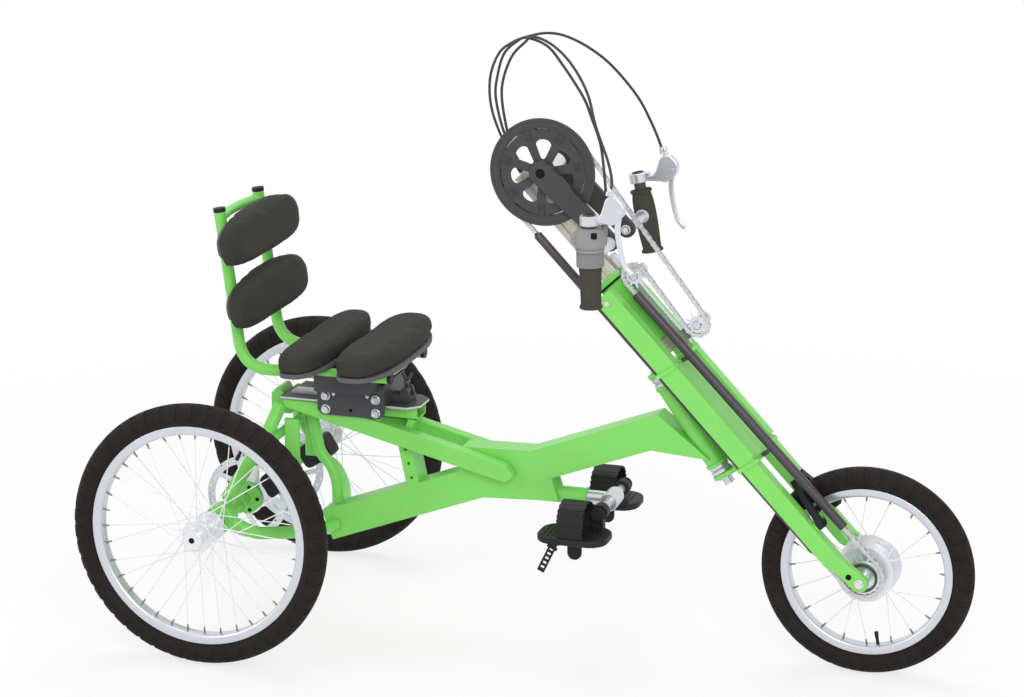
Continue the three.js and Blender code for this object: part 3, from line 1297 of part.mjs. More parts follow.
// A flat bar in front of the clamp with an arm and a pin for each idler
function idlerBarSolid() {
  const { thick, inner, outer, foot, top, armHalf, armInner } = idlerBar;
  const rear = mastClamp.front + gap;
  const bar = plate([
    v2(rear, foot), v2(rear + thick, foot), v2(rear + thick, top - thick / 2), ...arc(rear + thick / 2, top - thick / 2,
      thick / 2, 0, PI, 4).slice(1, -1), v2(rear, top - thick / 2),
  ], [inner, outer]);
  const arms = [sprockets.top, sprockets.tension].map(({ n, t }) => (
    plate([v2(rear, t - armHalf), ...arc(n, t, armHalf, -PI / 2, PI / 2, 5), v2(rear, t + armHalf)], [armInner, outer])
  ));
  const pins = [sprockets.top, sprockets.tension].map(({ n, t }) => {
    const end = chainLine.y - idler.half - gap;
    const shaft = disc(idler.pin, [end - idler.head, armInner + overrun], 8);
    const head = disc(idler.headRadius, [end - idler.head, end], 8);
    const collar = disc(idler.headRadius, [chainLine.y + idler.half + gap, armInner + overrun], 8);
    return join(shaft, head, collar).translate(n, 0, t);
  });
  return join(bar, ...arms, ...pins);
}

function guideTube(which, radius, extra = 0) {
  const line = which === 'front' ? frontRun : rearRun;
  const top = runPointAt(line, which === 'front' ? guideTubes.frontTop : guideTubes.rearTop);
  const foot = runPointAt(line, guideTubes.foot - extra);
  return rod(v3(foot.x, chainLine.y, foot.y), v3(top.x, chainLine.y, top.y), radius, 10);
}

function guideBore(which) {
  const line = which === 'front' ? frontRun : rearRun;
  const along = line.end.clone().sub(line.start).normalize().multiplyScalar(overrun);
  const solid = guideTube(which, guideTubes.bore);
  return [solid.clone().translate(along.x, 0, along.y), solid.clone().translate(-along.x, 0, -along.y)];
}

// The front tube is held to the crown plates by two clips
function frontGuide() {
  const clips = [[crown.upper, crown.frontUpper], [crown.lower, crown.frontLower]].map(([along, front]) => {
    const edge = reachTo(front, along);
    const reach = reachTo(runPointAt(frontRun, axisPoint(along, edge).y).x, along);
    const half = crown.thickness / 2;
    const clip = box([edge + gap, reach], [-guideTubes.clipHalf, guideTubes.clipHalf], [-half, half]);
    return squareToAxis(clip, along).translate(0, chainLine.y, 0);
  });
  return cut(join(guideTube('front', guideTubes.frontRadius), ...clips), ...guideBore('front'));
}

function hubSprocket() {
  const inner = -frontWheel.drumIn - frontWheel.flangeWidth - gap;
  const disk = plate(toothedOutline(sprockets.hub.teeth, toothPhase(sprockets.hub)), toothSpan);
  const boss = disc(frontWheel.hubRadius, [toothSpan[0], inner], 14);
  const bore = disc(socket(fork.axleRadius, 12), [toothSpan[0] - overrun, inner + overrun], 12);
  return cut(join(disk, boss), bore);
}

// Front brake: an arm on each leg's stud, with a shoe beside the rim

function brakeArm() {
  const { bossT, bossY, bossRadius, pinRadius, armThick, armRear, armTop, topY, tipHalf } = brake;
  const { padT, padN, padLength, padHeight, padThick, padClear, studRadius } = brake;
  const front = armRear + armThick;
  const outline = [
    ...arc(bossY, bossT, bossRadius, -0.75 * PI, 0.25 * PI, 5),
    v2(topY + tipHalf, armTop), v2(topY - tipHalf, armTop - tipHalf),
    v2(bossY - bossRadius * 1.5, padT),
  ];
  const shape = new THREE.Shape(outline);
  const bar = new THREE.ExtrudeGeometry(shape, { depth: armThick, bevelEnabled: false });
  // The outline is drawn in Y and Z and extruded along X
  const turn = new THREE.Matrix4().makeBasis(v3(0, 1, 0), v3(0, 0, 1), v3(1, 0, 0)).setPosition(armRear, 0, 0);
  const eye = rod(v3(armRear - overrun, bossY, bossT), v3(front + overrun, bossY, bossT), socket(pinRadius, 10), 10);
  const inner = frontWheel.rimWidth / 2 + padClear;
  const shoe = box([padN - padLength / 2, padN + padLength / 2], [inner, inner + padThick],
    [padT - padHeight / 2, padT + padHeight / 2]);
  const stud = rod(v3(padN, inner + padThick / 2, padT), v3(padN, bossY - bossRadius, padT), studRadius, 8);
  return cut(join(closed(bar.applyMatrix4(turn)), shoe, stud), eye);
}

function forkAssembly() {
  add('steerer', steererTube(), silver, forkGroup);
  add('fork_crown', forkCrown(), green, forkGroup);
  add('fork_leg_left', forkLeg(), green, forkGroup);
  add('fork_leg_right', mirrored(forkLeg()), green, forkGroup);
  add('front_axle', frontAxle(), darkMetal, forkGroup);
  add('mast', mastWithShell(), cream, forkGroup);
  add('mast_clamp', mastClampSolid(), green, forkGroup);
  add('idler_bar', idlerBarSolid(), cream, forkGroup);
  add('chain_idler_top', idlerWheel(sprockets.top), chainSilver, forkGroup);
  add('chain_idler_tension', idlerWheel(sprockets.tension), chainSilver, forkGroup);
  add('chain_tube_front', frontGuide(), tubeGrey, forkGroup);
  add('chain_tube_rear', cut(guideTube('rear', guideTubes.rearRadius), ...guideBore('rear')), tubeGrey, forkGroup);
  add('chain', chain(), chainSilver, forkGroup);
  add('hub_sprocket', hubSprocket(), chainSilver, forkGroup);
  add('brake_arm_left', brakeArm(), blackPlastic, forkGroup);
  add('brake_arm_right', mirrored(brakeArm()), blackPlastic, forkGroup);
}

// Cranks: local X runs along the arms from the bottom bracket

function chainring() {
  const phase = toothPhase(sprockets.ring) + rad(crank.drop + fork.lean);
  const disk = plate(toothedOutline(sprockets.ring.teeth, phase), toothSpan, [circle(0, 0, ring.inner, 20)]);
  const band = disc(ring.outer, [-guard.inner + gap, toothSpan[1]], 20, ring.inner);
  return join(disk, band);
}

function chainGuard() {
  const { radius, thickness, inner, windowOut, windowIn, windows, spoke } = guard;
  const holes = Array.from({ length: windows }, (_, i) => {
    const centre = (2 * PI * i) / windows + guardPhaseShare * 2 * PI;
    const spread = PI / windows;
    const [far, near] = [spread - asin(spoke / 2 / windowOut), spread - asin(spoke / 2 / windowIn)];
    return [
      ...arc(0, 0, windowOut, centre - far, centre + far, 4),
      ...arc(0, 0, windowIn, centre + near, centre - near, 2),
    ];
  });
  const bore = circle(0, 0, bottomBracket.axle + gap, 12);
  return plate(circle(0, 0, radius, 36), [-inner - thickness, -inner], [...holes, bore]);
}

function crankArms() {
  const { length, inner, thickness, hubRadius, tipRadius, pin, pinEnd } = crank;
  const lean = asin((hubRadius - tipRadius) / length);
  const arm = plate([
    ...arc(0, 0, hubRadius, PI / 2 - lean, 1.5 * PI + lean, 8),
    ...arc(length, 0, tipRadius, -PI / 2 + lean, PI / 2 - lean, 6),
  ], [inner, inner + thickness]);
  const stub = disc(pin, [inner + thickness / 2, pinEnd], 10).translate(length, 0, 0);
  const half = join(arm, stub);
  return join(half, mirrored(half), disc(bottomBracket.axle, [-inner - thickness / 2, inner + thickness / 2], 12));
}

// Handles: upright bars that turn on the crank pins, drawn here for the left side

const handleGroup = new THREE.Group();
handleGroup.position.set(crank.length, 0, 0);
handleGroup.rotation.y = -rad(crank.drop);
crankGroup.add(handleGroup);

function alongBar(geometry, tilt) {
  return geometry.rotateY(-rad(tilt)).translate(0, handle.y, 0);
}

function uprightDisc(radius, [low, high], sides, bore = 0) {
  return disc(radius, [low, high], sides, bore).rotateX(PI / 2);
}

function leverHouse() {
  const { ringFoot, ringHeight, bodyWidth, pivotX, pivotZ, bodyTop, bodyNose, leverWidth, leverPin } = handle;
  const { eye } = lever;
  const ringTop = ringFoot + ringHeight;
  const body = plate([
    v2(0, ringFoot + ringHeight / 5), v2(pivotX - eye * 2, ringFoot + ringHeight / 5),
    v2(pivotX + eye, pivotZ - eye), v2(pivotX + eye * 1.2, pivotZ + eye), v2(bodyNose, bodyTop),
    v2(bodyNose - eye * 2, bodyTop), v2(ringHeight / 2, ringTop - ringHeight / 5), v2(0, ringTop - ringHeight / 5),
  ], [handle.y - bodyWidth / 2, handle.y + bodyWidth / 2]);
  const half = leverWidth / 2 + gap;
  const slot = plate([
    v2(pivotX - eye * 2.4, ringFoot - eye), v2(pivotX + eye * 3, ringFoot - eye),
    v2(pivotX + eye * 3, pivotZ + eye * 1.3), v2(pivotX - eye * 1.3, pivotZ + eye * 1.3),
  ], [handle.y - half, handle.y + half]);
  const hole = disc(socket(leverPin, 8), [handle.y - bodyWidth, handle.y + bodyWidth], 8).translate(pivotX, 0, pivotZ);
  return cut(body, slot, hole);
}

function handleBar(tilt, foot, housing) {
  const { barRadius, sleeve, sleeveStart, top, ringFoot, ringHeight, ringRadius, y } = handle;
  const bar = alongBar(uprightDisc(barRadius, [foot, top], 12), tilt);
  const tee = disc(sleeve, [sleeveStart, y], 12);
  const clampRing = alongBar(uprightDisc(ringRadius, [ringFoot, ringFoot + ringHeight], 14), tilt);
  const pieces = [bar, tee, clampRing, leverHouse()];
  if (housing) pieces.push(alongBar(uprightDisc(handle.housingRadius, housing, 14), tilt));
  const bore = disc(socket(crank.pin, 10), [sleeveStart - overrun, crank.pinEnd + overrun], 10);
  return cut(join(...pieces), bore);
}

function gripSolid(tilt, low, high) {
  const { radius, flange, flangeWidth } = grip;
  const bore = handle.barRadius + gap;
  const solid = turned([
    [bore, low], [radius + flange, low], [radius + flange, low + flangeWidth], [radius, low + 2 * flangeWidth],
    [radius, high - 2 * flangeWidth], [radius + flange, high - flangeWidth], [radius + flange, high], [bore, high],
    [bore, low],
  ], 12).rotateX(PI / 2);
  return cut(alongBar(solid, tilt), disc(handle.sleeve + gap, [handle.sleeveStart, handle.y], 12));
}

function shifterTwist() {
  const { low, high, radius, ribs, ribDepth } = shifter;
  const outline = Array.from({ length: 2 * ribs }, (_, i) => {
    const reach = i % 2 ? radius : radius - ribDepth;
    return v2(reach * cos((PI * i) / ribs), reach * sin((PI * i) / ribs));
  });
  const shape = new THREE.Shape(outline);
  shape.holes = [new THREE.Path(circle(0, 0, socket(handle.barRadius, 14), 14))];
  const solid = new THREE.ExtrudeGeometry(shape, { depth: high - low, bevelEnabled: false }).translate(0, 0, low);
  return alongBar(closed(solid), handle.tiltRight);
}

function brakeLever() {
  const { pivotX, pivotZ, leverWidth, leverPin, bodyWidth, y } = handle;
  const { eye, thick } = lever;
  const route = bladeShares.map(([x, z]) => v3(pivotX + x * lever.reach, y, pivotZ - z * lever.length));
  const half = leverWidth / 2;
  const section = [v2(-half, -thick / 2), v2(half, -thick / 2), v2(half, thick / 2), v2(-half, thick / 2)];
  const barrel = disc(eye, [y - half, y + half], 10).translate(pivotX, 0, pivotZ);
  const pin = disc(leverPin, [y - bodyWidth / 2, y + bodyWidth / 2], 8).translate(pivotX, 0, pivotZ);
  return join(sweep(route, section), barrel, pin);
}

function crankAssembly() {
  const { footRight, footLeft, tiltRight, tiltLeft, housingLow, housingHigh } = handle;
  add('chainring', chainring(), chainSilver, crankGroup);
  add('chain_guard', chainGuard(), guardGrey, crankGroup);
  add('crank_arms', crankArms(), guardGrey, crankGroup);
  add('handle_left', handleBar(tiltLeft, footLeft), silver, handleGroup);
  add('handle_right', mirrored(handleBar(tiltRight, footRight, [housingLow, housingHigh])), silver, handleGroup);
  add('grip_left', gripSolid(tiltLeft, footLeft, grip.highLeft), rubber, handleGroup);
  add('grip_right', mirrored(gripSolid(tiltRight, footRight, housingLow - gap)), rubber, handleGroup);
  add('lever_left', brakeLever(), chainSilver, handleGroup);
  add('lever_right', mirrored(brakeLever()), chainSilver, handleGroup);
  add('shifter_twist', mirrored(shifterTwist()), shifterGrey, handleGroup);
}

// Cables, each whole from its lever or shifter over to the open top of the mast

function cableTube(points) {
  const path = new THREE.CatmullRomCurve3(points.map(([x, y, z]) => v3(x, y, z)), false, 'centripetal');
  const section = new THREE.Shape(circle(0, 0, cable.radius, 8));
  return new THREE.ExtrudeGeometry(section, { steps: cable.steps, extrudePath: path, bevelEnabled: false });
}

rearWheels();
frontWheelPieces();
frame();
seatAssembly();
footrestAssembly();
forkAssembly();
crankAssembly();
['left', 'shifter', 'right'].forEach((name, i) => {
  add(`cable_${name}`, cableTube(cableRoutes[i]), blackPlastic, base);
});

export default tricycle;
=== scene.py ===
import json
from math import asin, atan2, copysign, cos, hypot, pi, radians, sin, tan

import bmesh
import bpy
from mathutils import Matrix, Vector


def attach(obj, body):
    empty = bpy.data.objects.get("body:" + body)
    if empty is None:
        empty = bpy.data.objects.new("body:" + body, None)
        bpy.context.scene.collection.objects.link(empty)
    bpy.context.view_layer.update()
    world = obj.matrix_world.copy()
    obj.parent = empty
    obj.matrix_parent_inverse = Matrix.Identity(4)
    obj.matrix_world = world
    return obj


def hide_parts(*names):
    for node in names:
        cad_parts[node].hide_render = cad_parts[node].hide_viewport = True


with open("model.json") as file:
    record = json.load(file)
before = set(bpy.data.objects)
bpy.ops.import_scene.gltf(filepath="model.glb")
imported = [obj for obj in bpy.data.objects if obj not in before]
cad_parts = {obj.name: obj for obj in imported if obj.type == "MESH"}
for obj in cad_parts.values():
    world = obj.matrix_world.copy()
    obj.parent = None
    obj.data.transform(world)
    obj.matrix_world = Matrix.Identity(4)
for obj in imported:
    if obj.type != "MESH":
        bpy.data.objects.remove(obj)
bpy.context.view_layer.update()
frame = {"nodes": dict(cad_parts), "record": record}

# %% [markdown]
# # A hand-cranked tricycle, dressed
# The CAD model fixes where everything is and what moves. This lesson gives it the surfaces that a
# workshop would: drawn tubes with soft corners, spoked wheels, a real chain, foam pads in their
# covers, and paint, rubber and metal that take the light as the real ones do.
# The frame is loaded first.

nodes = frame["nodes"]

# %% [markdown]
# The maker draws in millimetres from the middle of the rear axles on the ground. Four placing
# matrices bring a drawn shape to its place: the plain one, one that leans with the fork and starts
# at the front axle, one that turns with the cranks, and one at the left and right crank pins.

# %% Placing matrices
WHEELBASE = 1167
FRONT_RADIUS, REAR_RADIUS = 195, 247
ORIGIN = (WHEELBASE + FRONT_RADIUS - REAR_RADIUS) / 2
FORK_LEAN, CRANK_DROP = radians(43.4), radians(42.4)
CRANK_LENGTH = 175
BRACKET_N, BRACKET_T = 47.7, 925.2


def shift(x, y, z):
    return Matrix.Translation((x, y, z))


def turn(angle, axis="Y"):
    return Matrix.Rotation(angle, 4, axis)


BASE = Matrix.Scale(0.001, 4) @ shift(-ORIGIN, 0, 0)
FORK = BASE @ shift(WHEELBASE, 0, FRONT_RADIUS) @ turn(-FORK_LEAN)
CRANK = FORK @ shift(BRACKET_N, 0, BRACKET_T) @ turn(CRANK_DROP + FORK_LEAN)
HAND = CRANK @ shift(CRANK_LENGTH, 0, 0) @ turn(-CRANK_DROP)
OTHER_SIDE = Matrix.Diagonal((1, -1, 1, 1))
SIDES = {"left": Matrix.Identity(4), "right": OTHER_SIDE}
print("the crank pins stand at", tuple(round(v, 4) for v in HAND.translation))

# %% [markdown]
# ## Finishes
# Every surface of the real tricycle is one of about twenty finishes. Each one is a small node tree
# on Object coordinates: a slow noise that shifts the colour a little, a fine noise that moves the
# roughness, and a bump of the right grain. What is the same all over stays on the shader's socket.

# %% Two helpers for node trees
def add(tree, kind, *feeds, **settings):
    """A new node: its first sockets are fed in order, the other sockets and settings go by name."""
    node = tree.nodes.new(kind)
    for key, value in settings.items():
        if key in node.inputs:
            node.inputs[key].default_value = value
        else:
            setattr(node, key, value)
    for feed, socket in zip(feeds, node.inputs):
        tree.links.new(feed, socket)
    return node


def remap(tree, value, low, high, to_low, to_high, **settings):
    """A value brought from one range to another."""
    node = add(tree, "ShaderNodeMapRange", value, **settings)
    for name, number in zip(("From Min", "From Max", "To Min", "To Max"), (low, high, to_low, to_high)):
        node.inputs[name].default_value = number
    return node.outputs["Result"]


# %% One function that mixes a finish
NOISE_RANGE = 0.3, 0.7
COAT_ROUGHNESS = 0.12
# Painted edge shade: within this radius of an edge the colour is mixed towards this share of itself.
PAINTED_EDGE_RADIUS, PAINTED_EDGE_DARKNESS = 0.0022, 0.55


def srgb(level):
    return ((level / 255 + 0.055) / 1.055) ** 2.4 if level > 10 else level / 255 / 12.92


def finish(name, slot, levels, rough, metallic=0.0, mottle=0.06, slow=9.0, grain=900.0, depth=0.03,
           stretch=(1, 1, 1), coat=0.0, sheen=0.0, painted_edge_shade=0.0, shine=0.5):
    colour = [srgb(level) for level in levels]
    material = bpy.data.materials.new(name)
    material.use_nodes = True
    tree = material.node_tree
    shader = tree.nodes["Principled BSDF"]
    shader.inputs["Metallic"].default_value = metallic
    shader.inputs["Coat Weight"].default_value = coat
    shader.inputs["Coat Roughness"].default_value = COAT_ROUGHNESS
    shader.inputs["Sheen Weight"].default_value = sheen
    shader.inputs["Specular IOR Level"].default_value = shine

    place = add(tree, "ShaderNodeTexCoord").outputs["Object"]
    patches = add(tree, "ShaderNodeTexNoise", place, Scale=slow, Detail=5.0, Roughness=0.6)
    ramp = add(tree, "ShaderNodeValToRGB", patches.outputs["Fac"])
    low, high = ramp.color_ramp.elements
    low.position, high.position = NOISE_RANGE
    low.color = (*[c * (1 - mottle) for c in colour], 1)
    high.color = (*[min(1.0, c * (1 + mottle)) for c in colour], 1)
    skin = ramp.outputs["Color"]
    # Painted edge shade: a positive share darkens the colour along edges as painted shade, a negative one
    # lightens it there as a painted highlight.
    if painted_edge_shade:
        rounded = add(tree, "ShaderNodeBevel", samples=6, Radius=PAINTED_EDGE_RADIUS).outputs["Normal"]
        plain = add(tree, "ShaderNodeNewGeometry").outputs["Normal"]
        edge = add(tree, "ShaderNodeVectorMath", rounded, plain, operation="DISTANCE").outputs["Value"]
        mix = add(tree, "ShaderNodeMix", remap(tree, edge, 0.1, 0.9, 0, painted_edge_shade), data_type="RGBA")
        tree.links.new(skin, mix.inputs[6])
        mix.inputs[7].default_value = (*[c * PAINTED_EDGE_DARKNESS for c in colour], 1)
        skin = mix.outputs[2]
    tree.links.new(skin, shader.inputs["Base Color"])

    drawn_out = add(tree, "ShaderNodeMapping", place, Scale=stretch).outputs["Vector"]
    fine = add(tree, "ShaderNodeTexNoise", drawn_out, Scale=grain, Detail=3.0, Roughness=0.55).outputs["Fac"]
    gloss = remap(tree, fine, *NOISE_RANGE, max(0.05, rough - 0.07), min(1.0, rough + 0.07))
    tree.links.new(gloss, shader.inputs["Roughness"])
    bump = add(tree, "ShaderNodeBump", Strength=depth * 10, Distance=0.0004)
    tree.links.new(fine, bump.inputs["Height"])
    tree.links.new(bump.outputs["Normal"], shader.inputs["Normal"])
    return {"material": material, "slot": slot}


# %% The finishes of this tricycle, with the colour as it shows
# Its edges are darkened as painted shade.
powder_green = finish("powder_green", "frame_green", (128, 214, 99), 0.36, mottle=0.03, slow=14,
                      grain=1400, depth=0.008, coat=0.12, painted_edge_shade=0.5, shine=0.3)
satin_aluminium = finish("satin_aluminium", "silver_metal", (208, 211, 217), 0.3, metallic=0.7,
                         mottle=0.03, grain=1500, depth=0.003, stretch=(1, 9, 1))
polished_steel = finish("polished_steel", "chain_steel", (220, 223, 229), 0.24, metallic=0.7,
                        mottle=0.04, grain=1700, depth=0.002)
chain_metal = finish("chain_metal", "chain_steel", (204, 204, 210), 0.32, metallic=0.6,
                     mottle=0.14, slow=160, grain=1500, depth=0.008)
tread_rubber = finish("tread_rubber", "tyre_rubber", (36, 31, 29), 0.66, mottle=0.22, slow=26,
                      grain=900, depth=0.04, stretch=(1, 0.4, 1), shine=0.12)
grip_foam = finish("grip_foam", "grip_rubber", (70, 70, 62), 0.8, mottle=0.08, slow=60,
                   grain=1900, depth=0.05, shine=0.12)
pad_fabric = finish("pad_fabric", "pad_cover", (58, 58, 54), 0.85, mottle=0.05, slow=18,
                    grain=2400, depth=0.05, sheen=0.02, shine=0.12)
pad_board = finish("pad_board", "black_plastic", (100, 96, 100), 0.6, mottle=0.06, grain=800,
                   depth=0.01, shine=0.2)
# Its edges are lightened as a painted highlight.
anodised_dark = finish("anodised_dark", "dark_metal", (74, 74, 77), 0.42, metallic=0.2,
                       mottle=0.06, slow=22, grain=1300, depth=0.01, painted_edge_shade=-0.5, shine=0.3)
cut_edge = finish("cut_edge", "silver_metal", (205, 205, 210), 0.35, metallic=0.6, grain=1700,
                  depth=0.003, stretch=(0.2, 1, 1))
black_nylon = finish("black_nylon", "black_plastic", (36, 36, 38), 0.5, mottle=0.1, slow=30,
                     grain=1200, depth=0.02, shine=0.2)
guard_plastic = finish("guard_plastic", "guard_grey", (72, 72, 72), 0.5, mottle=0.04, slow=20,
                       grain=1500, depth=0.015, shine=0.15)
mast_anodised = finish("mast_anodised", "mast_cream", (208, 203, 189), 0.36, metallic=0.4,
                       mottle=0.03, grain=1500, depth=0.002, stretch=(1, 8, 1))
guide_plastic = finish("guide_plastic", "tube_grey", (76, 69, 76), 0.32, mottle=0.05, grain=900,
                       depth=0.005, shine=0.3)
shifter_light = finish("shifter_light", "shifter_grey", (142, 142, 142), 0.4, mottle=0.04,
                       grain=1300, depth=0.01, shine=0.3)
shifter_dark = finish("shifter_dark", "shifter_grey", (132, 132, 133), 0.55, mottle=0.05,
                      grain=1300, depth=0.015, shine=0.2)
cable_cover = finish("cable_cover", "cable_black", (64, 64, 66), 0.5, mottle=0.02, grain=300,
                     depth=0.0, shine=0.2)
hub_alloy = finish("hub_alloy", "silver_metal", (226, 228, 232), 0.3, metallic=0.35, mottle=0.03,
                   grain=1500, depth=0.002)
# Spokes: pale steel, lightened nearly to white as a painted highlight.
spoke_steel_painted_highlight = finish("spoke_steel_painted_highlight", "chain_steel", (236, 237, 240), 0.3, metallic=0.3, mottle=0.02,
                     grain=900, depth=0.0)
# Nipples in a painted shade: darkened to the grey they show in the shade at the rim.
nipple_painted_shade = finish("nipple_painted_shade", "chain_steel", (128, 124, 122), 0.4, metallic=0.3, mottle=0.05,
                      grain=900, depth=0.0)
shadow_black = finish("shadow_black", "black_plastic", (18, 18, 19), 0.6, grain=900, depth=0.01,
                      shine=0.15)

# %% [markdown]
# ## Drawing tools
# Nearly everything on a tricycle is turned, drawn, bent or cut from plate. So there are four tools:
# a profile spun about an axle, an outline extruded into a slab, a round tube along a bent route, and
# a copy of a CAD solid whose sharp edges are softened, as real ones are by their corner radius.

# %% Meshes and their edges. Each shape is a fresh bmesh in millimetres
DOUBLE = 0.0005     # points closer than this are one
CRISP = 38          # edges sharper than this many degrees are shaded as edges


def placed(name, data):
    """A new object in the scene."""
    obj = bpy.data.objects.new(name, data)
    bpy.context.scene.collection.objects.link(obj)
    return obj


def as_mesh(shape, name="held"):
    """The shape's mesh. The shape itself is used up."""
    mesh = bpy.data.meshes.new(name)
    shape.to_mesh(mesh)
    shape.free()
    return mesh


def together(*shapes):
    whole = shapes[0]
    for shape in shapes[1:]:
        held = as_mesh(shape)
        whole.from_mesh(held)
        bpy.data.meshes.remove(held)
    return whole


def moved(shape, matrix):
    bmesh.ops.transform(shape, matrix=matrix, verts=shape.verts)
    return shape


def join_flat_faces(shape):
    bmesh.ops.dissolve_limit(shape, angle_limit=0.01, verts=shape.verts, edges=shape.edges)


def round_edges(shape, edges, width, segments, profile=0.5):
    bmesh.ops.bevel(shape, geom=edges, offset=width, offset_type="OFFSET", segments=segments,
                    profile=profile, affect="EDGES", clamp_overlap=True, material=-1)
    return shape


def soften(shape, width, segments=2, least=28):
    sharp = [e for e in shape.edges
             if len(e.link_faces) == 2 and e.calc_face_angle(0) > radians(least)]
    return round_edges(shape, sharp, width, segments)


# %% Turned, extruded and square shapes
def lathe(profile, steps=48):
    """A profile of (radius, place along Y), spun about the Y axis."""
    shape = bmesh.new()
    points = [shape.verts.new((radius, y, 0)) for radius, y in profile]
    closed = profile[0] == profile[-1]
    if closed:
        shape.verts.remove(points.pop())
    rows = list(zip(points, points[1:] + points[:1])) if closed else list(zip(points, points[1:]))
    edges = [shape.edges.new(pair) for pair in rows]
    bmesh.ops.spin(shape, geom=points + edges, axis=(0, 1, 0), cent=(0, 0, 0), steps=steps,
                   angle=2 * pi, use_merge=True)
    bmesh.ops.remove_doubles(shape, verts=shape.verts, dist=DOUBLE)
    return shape


def disc(radius, low, high, steps=32, bore=0, bevel=0.6):
    """A washer, drum or rod about Y with softened rims."""
    b = min(bevel, (high - low) / 2.5)
    rim = [(radius - b, low), (radius, low + b), (radius, high - b), (radius - b, high)]
    if bore:
        return lathe([(bore, low), *rim, (bore, high), (bore, low)], steps)
    return lathe([(0, low), *rim, (0, high)], steps)


def slab(outline, low, high, holes=(), bevel=0.0, segments=2):
    """An outline in X and Z, with holes, extruded along Y."""
    shape = bmesh.new()
    for loop in [outline, *holes]:
        points = [shape.verts.new((x, low, z)) for x, z in loop]
        for a, b in zip(points, points[1:] + points[:1]):
            shape.edges.new((a, b))
    bmesh.ops.triangle_fill(shape, use_beauty=True, edges=shape.edges[:])
    sheet = bmesh.ops.extrude_face_region(shape, geom=shape.faces[:])
    raised = [v for v in sheet["geom"] if isinstance(v, bmesh.types.BMVert)]
    bmesh.ops.translate(shape, verts=raised, vec=(0, high - low, 0))
    bmesh.ops.recalc_face_normals(shape, faces=shape.faces)
    if bevel:
        join_flat_faces(shape)
        soften(shape, bevel, segments)
    return shape


def block(x, y, z, bevel=1.0, segments=2):
    """A box between two values on each axis."""
    shape = bmesh.new()
    size = [b - a for a, b in (x, y, z)]
    middle = [(a + b) / 2 for a, b in (x, y, z)]
    bmesh.ops.create_cube(shape, size=1, matrix=shift(*middle) @ Matrix.Diagonal((*size, 1)))
    return soften(shape, bevel, segments)


# %% Tubes and their routes
def pipe(points, radius, sides=20, radii=None):
    """A round tube along a route, with closed ends."""
    curve = bpy.data.curves.new("route", "CURVE")
    curve.dimensions = "3D"
    curve.bevel_depth = radius
    curve.bevel_resolution = max(1, sides // 4 - 1)
    curve.use_fill_caps = True
    line = curve.splines.new("POLY")
    line.points.add(len(points) - 1)
    for i, (knot, place) in enumerate(zip(line.points, points)):
        knot.co = (*place, 1)
        knot.radius = radii[i] if radii else 1
    holder = placed("route", curve)
    held = bpy.data.meshes.new_from_object(holder)
    shape = bmesh.new()
    shape.from_mesh(held)
    bmesh.ops.remove_doubles(shape, verts=shape.verts, dist=DOUBLE)
    bpy.data.objects.remove(holder)
    return shape


def bent(points, reach, steps=7):
    """A route whose corners are rounded over a length on each side."""
    corners = [Vector(p) for p in points]
    route = [corners[0]]
    for before, corner, after in zip(corners, corners[1:], corners[2:]):
        near = min(reach, (corner - before).length * 0.48, (after - corner).length * 0.48)
        start = corner + (before - corner).normalized() * near
        end = corner + (after - corner).normalized() * near
        for i in range(steps + 1):
            t = i / steps
            route.append(start * (1 - t) ** 2 + corner * 2 * t * (1 - t) + end * t ** 2)
    return [*route, corners[-1]]


def smooth_route(points, steps=6):
    """A Catmull-Rom line through the points, for cables and blades."""
    knots = [Vector(p) for p in points]
    knots = [knots[0] * 2 - knots[1], *knots, knots[-1] * 2 - knots[-2]]
    route = []
    for a, b, c, d in zip(knots, knots[1:], knots[2:], knots[3:]):
        for i in range(steps):
            t = i / steps
            route.append(0.5 * (2 * b + (c - a) * t + (2 * a - 5 * b + 4 * c - d) * t ** 2
                                + (3 * b - a - 3 * c + d) * t ** 3))
    return [*route, knots[-2]]


# %% Outlines, and shapes turned to another axis
def polar(radius, angle, x=0, z=0):
    return x + radius * cos(angle), z + radius * sin(angle)


def arc(x, z, radius, low, high, steps):
    return [polar(radius, low + (high - low) * i / steps, x, z) for i in range(steps + 1)]


def circle(x, z, radius, sides):
    return arc(x, z, radius, 0, 2 * pi, sides)[:-1]


def rounded_box(length, width, corner, steps=6):
    a, b = length / 2 - corner, width / 2 - corner
    quarter = pi / 2
    return [point for i, (x, z) in enumerate([(a, b), (-a, b), (-a, -b), (a, -b)])
            for point in arc(x, z, corner, i * quarter, (i + 1) * quarter, steps)]


def upright(shape):
    """Turns a shape drawn about Y so that it stands on Z."""
    return moved(shape, turn(pi / 2, "X"))


def lengthwise(shape):
    """Turns a shape drawn about Y so that it lies along X."""
    return moved(shape, turn(-pi / 2, "Z"))


def flat(outline, low, high, holes=(), bevel=0.0, segments=2):
    """A slab whose outline lies in X and Y, between two heights on Z."""
    return moved(slab(outline, -high, -low, holes, bevel, segments), turn(-pi / 2, "X"))


# %% From a shape to a piece that rides on its body
def piece(name, shape, body, look, place=BASE, stands_for=(), crisp=CRISP, weighted=True):
    """Brings a shape to its place as a mesh object, on a body and in place of CAD nodes."""
    moved(shape, place)
    bmesh.ops.recalc_face_normals(shape, faces=shape.faces)
    mesh = as_mesh(shape, name)
    mesh.shade_smooth()
    mesh.set_sharp_from_angle(angle=radians(crisp))
    mesh.materials.append(look["material"])
    obj = placed(name, mesh)
    if weighted:
        obj.modifiers.new("flat faces stay flat", "WEIGHTED_NORMAL").keep_sharp = True
    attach(obj, body)
    if stands_for:
        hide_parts(*([stands_for] if isinstance(stands_for, str) else stands_for))
    return obj


body_of = {node: body for body, members in frame["record"]["behaviour"]["bodies"].items()
           for node in members}


